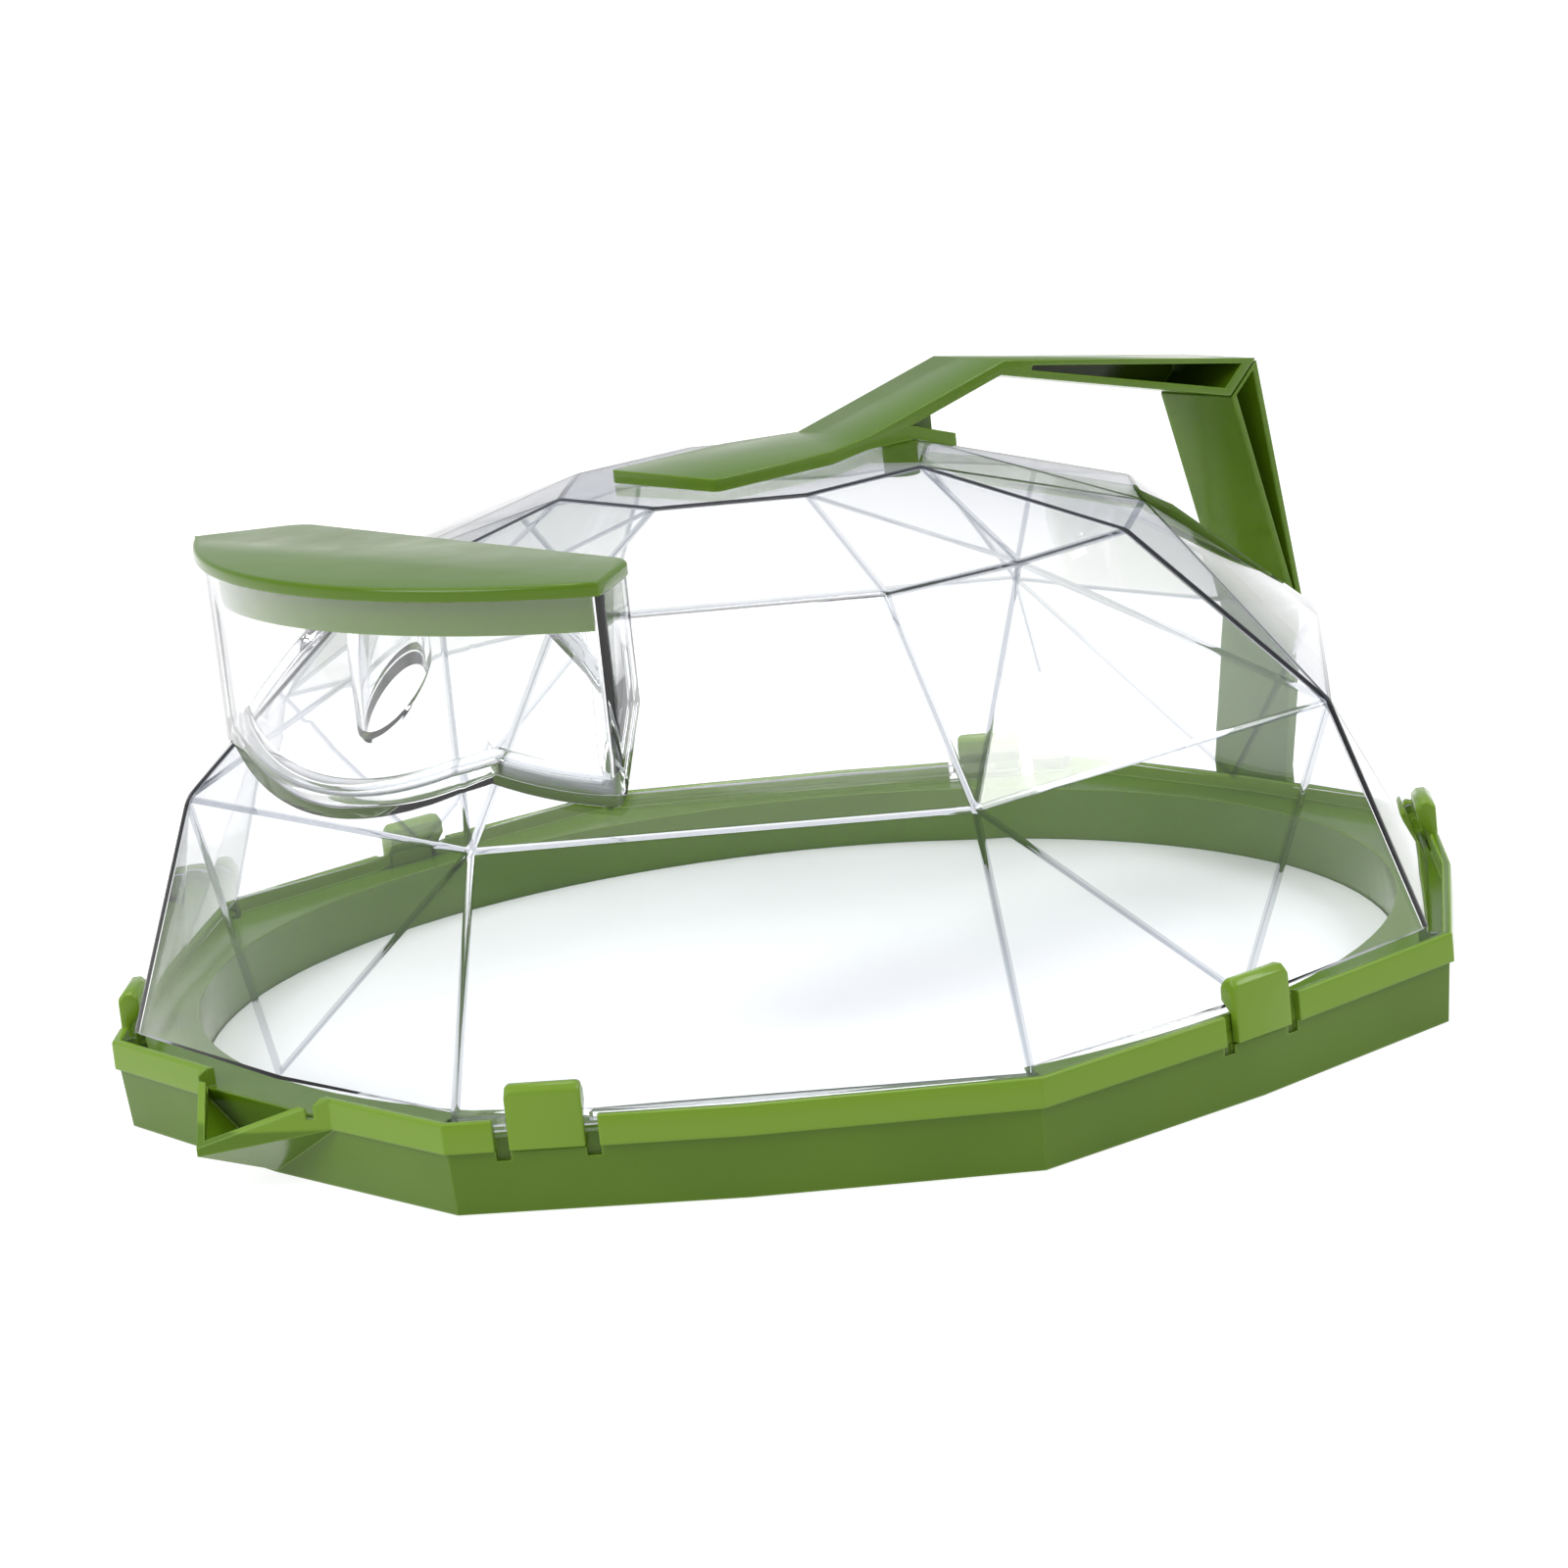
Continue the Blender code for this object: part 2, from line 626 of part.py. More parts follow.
def make_lid(material):
    """Lid with a rounded top edge and a skirt that plugs into the cup."""
    bottom = LID_HEIGHT - LID_THICKNESS
    outline = cup_outline(LID_OVERHANG, LID_SIDE_OVERHANG, LID_CORNER)
    lid = prism("cup_lid", outline, bottom, LID_HEIGHT, material)
    builder = bmesh.new()
    builder.from_mesh(lid.data)
    rim = [edge for edge in builder.edges if min(vert.co.z for vert in edge.verts) > bottom + GAP]
    bmesh.ops.bevel(builder, geom=rim, offset=LID_ROUND, segments=3, affect="EDGES", profile=0.5)
    builder.to_mesh(lid.data)
    builder.free()

    skirt_bottom = bottom - LID_SKIRT_DEPTH
    skirt = prism("skirt", cup_outline(-CUP_WALL - GAP), skirt_bottom, bottom + LID_THICKNESS / 2)
    hollow = prism("hollow", cup_outline(-CUP_WALL - GAP - LID_SKIRT), skirt_bottom - OVERSHOOT, bottom)
    boolean(skirt, hollow, "DIFFERENCE")
    boolean(lid, skirt, "UNION")
    smooth_round_faces(lid)


# ---------------------------------------------------------------- handle


def mitre_line(side):
    """The line between the bar and the leg at the elbow, moved half the gap to one side of it."""
    outer = Vector((ELBOW_PLACE, ELBOW_HEIGHT))
    inner = Vector((ELBOW_INNER_PLACE, ELBOW_INNER_HEIGHT))
    way = (inner - outer).normalized()
    shift = Vector((-way.y, way.x)) * side * MITRE_GAP / 2
    return outer + shift, inner + shift


def make_handle_bar(material):
    """The pad on the crown, the slanting strap and the hollow grip, in one piece."""
    crest = (CREST_PLACE, CREST_HEIGHT)
    crest_under = (CREST_UNDER_PLACE, CREST_UNDER_HEIGHT)
    outer_end, inner_end = mitre_line(-1)
    grip_outline = [crest, outer_end, inner_end, crest_under]
    bar = side_plate("handle_bar", grip_outline, HANDLE_HALF, material)
    room = inset(grip_outline, [GRIP_TOP_WALL, GRIP_WEB, GRIP_UNDER_WALL, GRIP_SOLID_END])
    boolean(bar, side_plate("grip_room", room, HANDLE_HALF + OVERSHOOT), "DIFFERENCE")

    strap_root = PAD_TOP - PAD_THICKNESS / 2
    strap_outline = [
        (STRAP_START, PAD_TOP),
        crest,
        (crest[0] + STRAP_THICKNESS, crest[1] - STRAP_THICKNESS / 2),
        (crest_under[0] + STRAP_THICKNESS, crest_under[1]),
        crest_under,
        (STRAP_START + 3 * STRAP_THICKNESS, strap_root),
        (STRAP_START - STRAP_THICKNESS, strap_root),
    ]
    boolean(bar, side_plate("strap", strap_outline, HANDLE_HALF), "UNION")

    pad_outline = [
        (PAD_START, -PAD_HALF_WIDTH),
        (PAD_NECK_START, -PAD_HALF_WIDTH),
        (STRAP_START, -HANDLE_HALF),
        (CROWN_FLAT, -HANDLE_HALF),
        (CROWN_FLAT, HANDLE_HALF),
        (STRAP_START, HANDLE_HALF),
        (PAD_NECK_START, PAD_HALF_WIDTH),
        (PAD_START, PAD_HALF_WIDTH),
    ]
    pad_outline = rounded(pad_outline, {0, 7}, PAD_CORNER)
    pad_bottom = PAD_TOP - PAD_THICKNESS
    boolean(bar, prism("pad", pad_outline, pad_bottom, PAD_TOP), "UNION")

    # The tongue carries on from the pad down the cover's slope.
    drop = CROWN_SLOPE * (TONGUE_END - CROWN_FLAT)
    overlap = CROWN_FLAT - OVERSHOOT
    tongue_outline = [
        (overlap, pad_bottom),
        (CROWN_FLAT, pad_bottom),
        (TONGUE_END, pad_bottom - drop),
        (TONGUE_END, PAD_TOP - drop),
        (CROWN_FLAT, PAD_TOP),
        (overlap, PAD_TOP),
    ]
    boolean(bar, side_plate("tongue", tongue_outline, HANDLE_HALF), "UNION")

    strap_slope = (CREST_HEIGHT - PAD_TOP) / (CREST_PLACE - STRAP_START)
    post_outline = []
    for place in (POST_START, POST_END):
        tongue_middle = PAD_TOP - PAD_THICKNESS / 2 - CROWN_SLOPE * (place - CROWN_FLAT)
        strap_middle = PAD_TOP + strap_slope * (place - STRAP_START) - STRAP_THICKNESS / 2
        post_outline += [(place, tongue_middle), (place, strap_middle)]
    post_outline[2:] = reversed(post_outline[2:])
    boolean(bar, side_plate("post", post_outline, POST_HALF_WIDTH), "UNION")

    boss_top = PAD_TOP - PAD_THICKNESS / 2 - CROWN_SLOPE * (BOSS_PLACE - CROWN_FLAT)
    boss = cylinder("boss", BOSS_RADIUS, boss_top - BOSS_LENGTH, boss_top, TUBE_SEGMENTS, BOSS_PLACE)
    boolean(bar, boss, "UNION")


def make_handle_leg(material):
    """The leg, a second hollow wedge, whose foot stands against the outside of the tray's lip.

    Its origin is on the elbow, where it swings.
    """
    outer_start, inner_start = mitre_line(1)
    foot_inner = RIM_END + GAP
    knee_outer = (RIM_END + KNEE_REACH, KNEE_HEIGHT)
    knee_inner = (knee_outer[0] - 2 * LEG_WALL, KNEE_HEIGHT)
    leg_outline = [outer_start, knee_outer, knee_inner, inner_start]
    leg = side_plate("handle_leg", leg_outline, HANDLE_HALF, material)
    room = inset(leg_outline, [LEG_WALL, LEG_SOLID_END, LEG_WALL, LEG_WEB])
    boolean(leg, side_plate("leg_room", room, HANDLE_HALF + OVERSHOOT), "DIFFERENCE")

    ankle = TRAY_HEIGHT + FOOT_THICKNESS
    foot_outline = [
        (knee_inner[0], KNEE_HEIGHT + LEG_WALL / 2),
        (knee_outer[0] - LEG_WALL / 2, KNEE_HEIGHT + LEG_WALL / 2),
        knee_outer,
        (foot_inner + FOOT_THICKNESS, ankle),
        (foot_inner + FOOT_THICKNESS, TRAY_HEIGHT - FOOT_DEPTH),
        (foot_inner, TRAY_HEIGHT - FOOT_DEPTH),
        (foot_inner, ankle),
        knee_inner,
    ]
    boolean(leg, side_plate("foot", foot_outline, HANDLE_HALF), "UNION")
    pivot = Vector((ELBOW_PLACE, 0, ELBOW_HEIGHT))
    leg.data.transform(Matrix.Translation(-pivot))
    leg.location = pivot


def main():
    clear_scene()
    green = make_material("green_plastic", GREEN, 0.28)
    white = make_material("white_sheet", (0.86, 0.87, 0.88), 0.35)
    clear = make_material("clear_plastic", (0.93, 0.95, 0.96), 0.04, alpha=0.25)
    frames = clip_frames()
    make_tray(green, frames)
    make_floor(white)
    for number, frame in enumerate(frames, start=1):
        make_clip(f"snap_clip_{number}", frame, green)
    make_cover(clear, frames)
    make_cup(clear)
    make_tube(clear)
    make_lid(green)
    make_handle_bar(green)
    make_handle_leg(green)


main()
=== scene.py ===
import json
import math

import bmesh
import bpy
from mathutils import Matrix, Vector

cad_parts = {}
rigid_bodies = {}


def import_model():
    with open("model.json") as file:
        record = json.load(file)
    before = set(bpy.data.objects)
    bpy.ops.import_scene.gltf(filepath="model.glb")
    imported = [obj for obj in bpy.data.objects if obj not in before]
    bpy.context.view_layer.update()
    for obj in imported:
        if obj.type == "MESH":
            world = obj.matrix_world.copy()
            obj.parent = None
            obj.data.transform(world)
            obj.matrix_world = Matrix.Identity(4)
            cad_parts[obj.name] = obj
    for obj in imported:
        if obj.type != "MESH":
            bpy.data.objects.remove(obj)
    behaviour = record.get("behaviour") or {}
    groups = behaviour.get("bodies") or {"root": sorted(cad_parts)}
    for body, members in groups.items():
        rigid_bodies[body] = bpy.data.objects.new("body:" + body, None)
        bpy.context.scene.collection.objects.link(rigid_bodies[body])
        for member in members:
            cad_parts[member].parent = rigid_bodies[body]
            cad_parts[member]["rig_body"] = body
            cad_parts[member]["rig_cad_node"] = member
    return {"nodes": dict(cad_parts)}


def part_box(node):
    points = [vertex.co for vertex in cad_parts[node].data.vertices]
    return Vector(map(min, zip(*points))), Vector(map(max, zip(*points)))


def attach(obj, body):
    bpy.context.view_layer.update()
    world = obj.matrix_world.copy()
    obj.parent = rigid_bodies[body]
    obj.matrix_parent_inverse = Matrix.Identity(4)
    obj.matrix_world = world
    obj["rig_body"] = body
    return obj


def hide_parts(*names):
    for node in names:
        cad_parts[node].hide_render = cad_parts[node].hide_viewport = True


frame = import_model()

# %% [markdown]
# # A tabletop sand tray under a faceted clear cover
#
# The real object is a shallow eight-sided tray of glossy green plastic with a white floor. A clear
# faceted cover stands in it, held by six snap clips. A side cup with a green lid and a drop tube grows
# out of the cover, and a folded green handle runs from the top of the cover down to the rim of the tray.
#
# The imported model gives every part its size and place. This lesson adds what the eye sees: rounded
# edges, clear plastic that bends light, moulded green plastic, a pale studio and a camera.

scene = bpy.context.scene
nodes = frame["nodes"]
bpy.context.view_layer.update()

# %% [markdown]
# ## Camera
#
# A camera needs a place, a point to look at, and a lens. A long lens from more than a metre away keeps
# the tray's far side nearly as wide as its near side, which suits a product view. The camera also leans
# a little to one side. `to_track_quat` aims it, and a turn about its own axis gives the lean.

# %% Camera
CAMERA_PLACE = Vector((-0.7231, -0.8879, 0.3095))
CAMERA_AIM = Vector((-0.0015, -0.0034, 0.0530))
CAMERA_LEAN = math.radians(-6.14)
CAMERA_LENS = 115.93
CAMERA_SENSOR, CAMERA_NEAR = 36.0, 0.05

bpy.ops.object.select_all(action="DESELECT")
bpy.ops.object.camera_add(location=CAMERA_PLACE)
camera = bpy.context.object
aim = (CAMERA_AIM - CAMERA_PLACE).to_track_quat("-Z", "Y").to_matrix().to_4x4()
camera.rotation_euler = aim.to_euler()
camera.rotation_euler.rotate_axis("Z", CAMERA_LEAN)
camera.data.lens = CAMERA_LENS
camera.data.sensor_width = CAMERA_SENSOR
camera.data.clip_start = CAMERA_NEAR
scene.camera = camera
bpy.context.view_layer.update()
print("camera looks along", [round(value, 4) for value in -camera.matrix_world.col[2].xyz])
print("its right side is", [round(value, 4) for value in camera.matrix_world.col[0].xyz])

# %% [markdown]
# ## Studio
#
# Clear plastic shows only what it bends and mirrors, so the room matters as much as the material. The
# table is white paper that runs to the horizon. The ceiling is white too, and keeps the flat facets of
# the cover clean. Between them is the dim room. The rounded folds of the cover catch that part and draw
# themselves as thin slate lines. Three soft lamps put broad highlights on the green plastic.

# %% World
world = bpy.data.worlds.new("studio")
world.use_nodes = True
scene.world = world
sky = world.node_tree.nodes
sky_links = world.node_tree.links
direction = sky.new("ShaderNodeTexCoord")
split = sky.new("ShaderNodeSeparateXYZ")
height_ramp = sky.new("ShaderNodeValToRGB")
WHITE = (1.0, 1.0, 1.0, 1.0)
ROOM = (
    (0.02, WHITE),  # paper, up to the horizon
    (0.12, (0.58, 0.59, 0.62, 1.0)),  # the dim room behind it
    (0.52, (0.30, 0.32, 0.38, 1.0)),
    (0.72, WHITE),  # the ceiling
)
while len(height_ramp.color_ramp.elements) < len(ROOM):
    height_ramp.color_ramp.elements.new(0.5)
for stop, (position, colour) in zip(height_ramp.color_ramp.elements, ROOM):
    stop.position = position
    stop.color = colour
sky_links.new(direction.outputs["Generated"], split.inputs["Vector"])
sky_links.new(split.outputs["Z"], height_ramp.inputs["Fac"])

# The camera itself sees plain white paper all round.
seen = sky.new("ShaderNodeLightPath")
backdrop = sky.new("ShaderNodeMix")
backdrop.data_type = "RGBA"
colours = [socket for socket in backdrop.inputs if socket.type == "RGBA"]
colours[1].default_value = WHITE
sky_links.new(seen.outputs["Is Camera Ray"], backdrop.inputs["Factor"])
sky_links.new(height_ramp.outputs["Color"], colours[0])
mixed = next(socket for socket in backdrop.outputs if socket.type == "RGBA")
sky_links.new(mixed, sky["Background"].inputs["Color"])
sky["Background"].inputs["Strength"].default_value = 1.0
scene.view_settings.view_transform = "Standard"
print("world: a ramp of", len(ROOM), "stops over height")

# %% [markdown]
# ### Soft lamps
#
# Each lamp is a square panel, as wide as an arm is long and about a metre away, so its highlight has a
# soft edge. One stands behind on the left, one in front on the right, and one hangs overhead.


# %% Soft lamps
def add_softbox(name, place, size, power):
    """A square area lamp that faces the middle of the object."""
    bpy.ops.object.light_add(type="AREA", location=place)
    lamp = bpy.context.object
    lamp.name = name
    lamp.data.size = size
    lamp.data.energy = power
    lamp.rotation_euler = (LAMPS_FACE - Vector(place)).to_track_quat("-Z", "Y").to_euler()


LAMPS_FACE = Vector((0.0, 0.0, 0.05))
bpy.ops.object.select_all(action="DESELECT")
add_softbox("left_softbox", (-1.3, 0.3, 0.9), size=0.8, power=13.0)
add_softbox("right_softbox", (1.0, -0.9, 1.1), size=0.7, power=11.0)
add_softbox("top_softbox", (0.1, 0.2, 1.5), size=0.6, power=10.0)

# %% [markdown]
# ### Paper
#
# The paper runs far past the view, just under the tray so that the two never share a plane. It glows a
# little, which burns it out to white but leaves the soft contact shadow.

# %% Paper
PAPER_WIDTH, PAPER_DROP = 40.0, 0.0004
PAPER_GREY, PAPER_GLOW = 0.30, 0.88
bpy.ops.object.select_all(action="DESELECT")
bpy.ops.mesh.primitive_plane_add(size=PAPER_WIDTH, location=(0.0, 0.0, -PAPER_DROP))
floor = bpy.context.object
floor.name = "studio_floor"
paper = bpy.data.materials.new("studio_paper")
paper.use_nodes = True
paper_shader = paper.node_tree.nodes["Principled BSDF"]
paper_shader.inputs["Base Color"].default_value = (PAPER_GREY, PAPER_GREY, PAPER_GREY, 1.0)
paper_shader.inputs["Roughness"].default_value = 0.9
paper_shader.inputs["Specular IOR Level"].default_value = 0.0
paper_shader.inputs["Emission Color"].default_value = WHITE
paper_shader.inputs["Emission Strength"].default_value = PAPER_GLOW
floor.data.materials.append(paper)
print("paper", PAPER_WIDTH, "m wide")

# %% [markdown]
# ## Green plastic
#
# The tray, clips, lid and handle are moulded in one grass-green plastic with a glossy skin. Up close a
# moulded skin isn't perfect. Its colour drifts a little where the plastic flowed, its gloss changes in
# faint clouds, and fine ripples break up reflections. Corners get a paler green, a painted highlight for
# the light that rounded edges catch. A Bevel node compares the real normal with a rounded one, which finds
# those corners.

# %% Material helpers
NOISE_LOW, NOISE_HIGH = 0.3, 0.7  # most of a noise texture's values lie between these


def new_material(name):
    """An empty material, its nodes, its links and its Principled shader."""
    material = bpy.data.materials.new(name)
    material.use_nodes = True
    tree = material.node_tree
    return material, tree, tree.nodes["Principled BSDF"]


def add_noise(tree, scale, detail, stretch=(1.0, 1.0, 1.0)):
    """Cloudy noise fixed to the object, stretched along its axes."""
    place = tree.nodes.new("ShaderNodeTexCoord")
    mapping = tree.nodes.new("ShaderNodeMapping")
    noise = tree.nodes.new("ShaderNodeTexNoise")
    mapping.inputs["Scale"].default_value = stretch
    noise.inputs["Scale"].default_value = scale
    noise.inputs["Detail"].default_value = detail
    tree.links.new(place.outputs["Object"], mapping.inputs["Vector"])
    tree.links.new(mapping.outputs["Vector"], noise.inputs["Vector"])
    return noise.outputs["Fac"]


def remap(tree, value, low, high):
    """The middle of a noise's range spread from low to high."""
    node = tree.nodes.new("ShaderNodeMapRange")
    node.inputs["From Min"].default_value = NOISE_LOW
    node.inputs["From Max"].default_value = NOISE_HIGH
    node.inputs["To Min"].default_value = low
    node.inputs["To Max"].default_value = high
    tree.links.new(value, node.inputs["Value"])
    return node.outputs["Result"]


def mix_colours(tree, share, first, second):
    """A blend of two colours. Each is a colour or a socket."""
    node = tree.nodes.new("ShaderNodeMix")
    node.data_type = "RGBA"
    tree.links.new(share, node.inputs["Factor"])
    for name, colour in (("A", first), ("B", second)):
        socket = next(s for s in node.inputs if s.name == name and s.type == "RGBA")
        if isinstance(colour, tuple):
            socket.default_value = (*colour, 1.0)
        else:
            tree.links.new(colour, socket)
    return next(s for s in node.outputs if s.type == "RGBA")


def add_bump(tree, value, strength, distance, normal=None):
    """Small hills and hollows, on top of a normal if one is given."""
    node = tree.nodes.new("ShaderNodeBump")
    node.inputs["Strength"].default_value = strength
    node.inputs["Distance"].default_value = distance
    tree.links.new(value, node.inputs["Height"])
    if normal is not None:
        tree.links.new(normal, node.inputs["Normal"])
    return node.outputs["Normal"]


def find_edges(tree, radius, sharp):
    """A rounded normal, and how near a corner each point is."""
    bevel = tree.nodes.new("ShaderNodeBevel")
    bevel.samples = 6
    bevel.inputs["Radius"].default_value = radius
    geometry = tree.nodes.new("ShaderNodeNewGeometry")
    dot = tree.nodes.new("ShaderNodeVectorMath")
    dot.operation = "DOT_PRODUCT"
    tree.links.new(bevel.outputs["Normal"], dot.inputs[0])
    tree.links.new(geometry.outputs["Normal"], dot.inputs[1])
    near = tree.nodes.new("ShaderNodeMapRange")
    near.inputs["From Min"].default_value = 1.0
    near.inputs["From Max"].default_value = sharp
    tree.links.new(dot.outputs["Value"], near.inputs["Value"])
    return bevel.outputs["Normal"], near.outputs["Result"]


# %% [markdown]
# The tray's lip and the clips are thin walls, and light comes through them from behind. That light is
# painted: the second green, paler and yellower, takes over above the bottom of the lip.

# %% Green plastic
GREEN_DEEP = (0.064, 0.128, 0.0035)
GREEN_FRESH = (0.074, 0.144, 0.0045)
GREEN_EDGE_HIGHLIGHT = (0.170, 0.300, 0.030)
GREEN_LIP_LIT_THROUGH = (0.135, 0.235, 0.016)
GREEN_INDEX = 1.33
GREEN_GLOSS = (0.13, 0.22)
EDGE_HIGHLIGHT_REACH = 0.0007  # how far in from a corner the painted highlight reaches
EDGE_HIGHLIGHT_TURN = 0.72  # the cosine at which a corner is fully pale
LIP_FADE = (-0.0003, 0.0004)
LIP_BOTTOM = 0.0138


def make_green_plastic(name, pale_above=None):
    """The green skin. Above a height, if one is given, a paler green is painted for light through the thin
    wall.
    """
    material, tree, shader = new_material(name)
    clouds = remap(tree, add_noise(tree, scale=28.0, detail=3.0), low=0.0, high=1.0)
    colour = mix_colours(tree, clouds, GREEN_DEEP, GREEN_FRESH)
    if pale_above is not None:
        # Above the height a paler green is painted, for light that comes through the thin wall.
        place = tree.nodes.new("ShaderNodeTexCoord")
        split_place = tree.nodes.new("ShaderNodeSeparateXYZ")
        thin = tree.nodes.new("ShaderNodeMapRange")
        thin.inputs["From Min"].default_value = pale_above + LIP_FADE[0]
        thin.inputs["From Max"].default_value = pale_above + LIP_FADE[1]
        tree.links.new(place.outputs["Object"], split_place.inputs["Vector"])
        tree.links.new(split_place.outputs["Z"], thin.inputs["Value"])
        colour = mix_colours(tree, thin.outputs["Result"], colour, GREEN_LIP_LIT_THROUGH)
    # Corners get a paler green: a painted highlight for the light that rounded edges catch.
    rounded, edge_highlight = find_edges(tree, EDGE_HIGHLIGHT_REACH, EDGE_HIGHLIGHT_TURN)
    colour = mix_colours(tree, edge_highlight, colour, GREEN_EDGE_HIGHLIGHT)
    tree.links.new(colour, shader.inputs["Base Color"])
    gloss = remap(tree, add_noise(tree, scale=60.0, detail=4.0, stretch=(1.0, 1.0, 3.0)), *GREEN_GLOSS)
    tree.links.new(gloss, shader.inputs["Roughness"])
    ripples_height = add_noise(tree, scale=55.0, detail=1.0)
    ripples = add_bump(tree, ripples_height, strength=0.25, distance=0.0003, normal=rounded)
    skin_height = add_noise(tree, scale=2600.0, detail=2.0)
    skin = add_bump(tree, skin_height, strength=0.10, distance=0.00002, normal=ripples)
    tree.links.new(skin, shader.inputs["Normal"])
    shader.inputs["IOR"].default_value = GREEN_INDEX
    return material


green_plastic = make_green_plastic("green_plastic_skin")
lit_lip_plastic = make_green_plastic("green_plastic_lip_painted_light", LIP_BOTTOM)
print("green plastic has", len(green_plastic.node_tree.nodes), "nodes")

# %% [markdown]
# ## White sheet
#
# The floor of the tray is a separate white disc. It is smoother than paper, with a faint cool tint and
# the fine scuffs that sand leaves.

# %% White sheet
SHEET_COLOURS = (0.935, 0.945, 0.945), (0.945, 0.955, 0.955)
SHEET_SCUFFS = (0.22, 0.27)


def make_white_sheet():
    """The skin of the white disc."""
    material, tree, shader = new_material("white_sheet_skin")
    clouds = remap(tree, add_noise(tree, scale=9.0, detail=2.0), low=0.0, high=1.0)
    colour = mix_colours(tree, clouds, *SHEET_COLOURS)
    tree.links.new(colour, shader.inputs["Base Color"])
    scuffs = remap(tree, add_noise(tree, scale=12.0, detail=2.0), *SHEET_SCUFFS)
    tree.links.new(scuffs, shader.inputs["Roughness"])
    grain = add_bump(tree, add_noise(tree, scale=1500.0, detail=2.0), strength=0.04, distance=0.00002)
    tree.links.new(grain, shader.inputs["Normal"])
    return material


white_sheet = make_white_sheet()
print("white sheet has", len(white_sheet.node_tree.nodes), "nodes")

# %% [markdown]
# ## Clear plastic
#
# The cover, cup and tube are moulded in a hard clear plastic that bends light more than window glass
# does. Full transmission gives that, with slow waves in the surface from moulding. Seen edge-on the wall
# is darker: partly because the path through it is much longer, partly as painted shade for the dark
# lines along silhouettes. A ray tracer can't send lamp light through bent glass well, so for shadow rays
# and soft bounces a Light Path node swaps the shader for a plain see-through one. That keeps the inside
# of the cover bright.

# %% Clear plastic
CLEAR_INDEX = 1.52
CLEAR_EDGE_ON = (0.38, 0.40, 0.45)
EDGE_ON_FROM = 0.55  # how steep a view starts to darken it, from 0 to 1
HAZE_CONTRAST = 0.012
CLEAR_GLOSS = (0.0, 0.010)
SEE_THROUGH = (0.97, 0.975, 0.985, 1.0)


def make_clear_plastic(name, tint, waves):
    """Clear plastic of a tint, with moulding waves of a strength."""
    material, tree, shader = new_material(name)
    haze = remap(tree, add_noise(tree, scale=12.0, detail=3.0), low=0.0, high=1.0)
    paler = tuple(min(1.0, value + HAZE_CONTRAST) for value in tint)
    clear = mix_colours(tree, haze, tint, paler)
    # Seen edge-on the colour darkens: partly the longer path through the wall, partly painted shade for
    # the dark lines along silhouettes.
    facing = tree.nodes.new("ShaderNodeLayerWeight")
    facing.inputs["Blend"].default_value = 0.5
    edge_on = tree.nodes.new("ShaderNodeMapRange")
    edge_on.inputs["From Min"].default_value = EDGE_ON_FROM
    edge_on.inputs["From Max"].default_value = 1.0
    tree.links.new(facing.outputs["Facing"], edge_on.inputs["Value"])
    colour = mix_colours(tree, edge_on.outputs["Result"], clear, CLEAR_EDGE_ON)
    tree.links.new(colour, shader.inputs["Base Color"])
    gloss = remap(tree, add_noise(tree, scale=45.0, detail=2.0), *CLEAR_GLOSS)
    tree.links.new(gloss, shader.inputs["Roughness"])
    moulding_height = add_noise(tree, scale=22.0, detail=1.0, stretch=(1.0, 1.0, 0.5))
    moulding = add_bump(tree, moulding_height, strength=waves, distance=0.0006)
    tree.links.new(moulding, shader.inputs["Normal"])
    shader.inputs["Transmission Weight"].default_value = 1.0
    shader.inputs["IOR"].default_value = CLEAR_INDEX

    see_through = tree.nodes.new("ShaderNodeBsdfTransparent")
    see_through.inputs["Color"].default_value = SEE_THROUGH
    path = tree.nodes.new("ShaderNodeLightPath")
    soft_ray = tree.nodes.new("ShaderNodeMath")
    soft_ray.operation = "MAXIMUM"
    tree.links.new(path.outputs["Is Shadow Ray"], soft_ray.inputs[0])
    tree.links.new(path.outputs["Is Diffuse Ray"], soft_ray.inputs[1])
    swap = tree.nodes.new("ShaderNodeMixShader")
    tree.links.new(soft_ray.outputs["Value"], swap.inputs["Fac"])
    tree.links.new(shader.outputs["BSDF"], swap.inputs[1])
    tree.links.new(see_through.outputs["BSDF"], swap.inputs[2])
    tree.links.new(swap.outputs["Shader"], tree.nodes["Material Output"].inputs["Surface"])
    return material


# Greyer copies of the same plastic go on the folds, and the greyest round the brow: painted shade for the
# dark fold lines.
clear_plastic = make_clear_plastic("clear_plastic_skin", tint=(0.980, 0.982, 0.986), waves=0.10)
fold_shade_plastic = make_clear_plastic("clear_plastic_fold_painted_shade", tint=(0.52, 0.54, 0.58), waves=0.05)
brow_shade_plastic = make_clear_plastic("clear_plastic_brow_painted_shade", tint=(0.36, 0.38, 0.43), waves=0.05)
print("clear plastic has", len(clear_plastic.node_tree.nodes), "nodes")

# %% [markdown]
# ## Tools for modelling
#
# Each new piece is shaped in edit mode. An operator acts on all that is selected, so everything is
# deselected first, and then vertices, edges or faces are picked by a test on their place.

# %% Modelling helpers
WELD = 0.000002  # points closer than this are one point
SELECT_MODES = {"verts": "VERT", "edges": "EDGE", "faces": "FACE"}
SMOOTH_ANGLE = math.radians(28)
FLAT_ENOUGH, FACET_FLAT_ENOUGH = math.radians(0.4), math.radians(0.3)


def deselect_all():
    bpy.ops.object.select_all(action="DESELECT")


def start_editing(piece):
    deselect_all()
    piece.select_set(True)
    bpy.context.view_layer.objects.active = piece
    bpy.ops.object.mode_set(mode="EDIT")
    bpy.ops.mesh.select_all(action="DESELECT")


def stop_editing():
    bpy.ops.object.mode_set(mode="OBJECT")


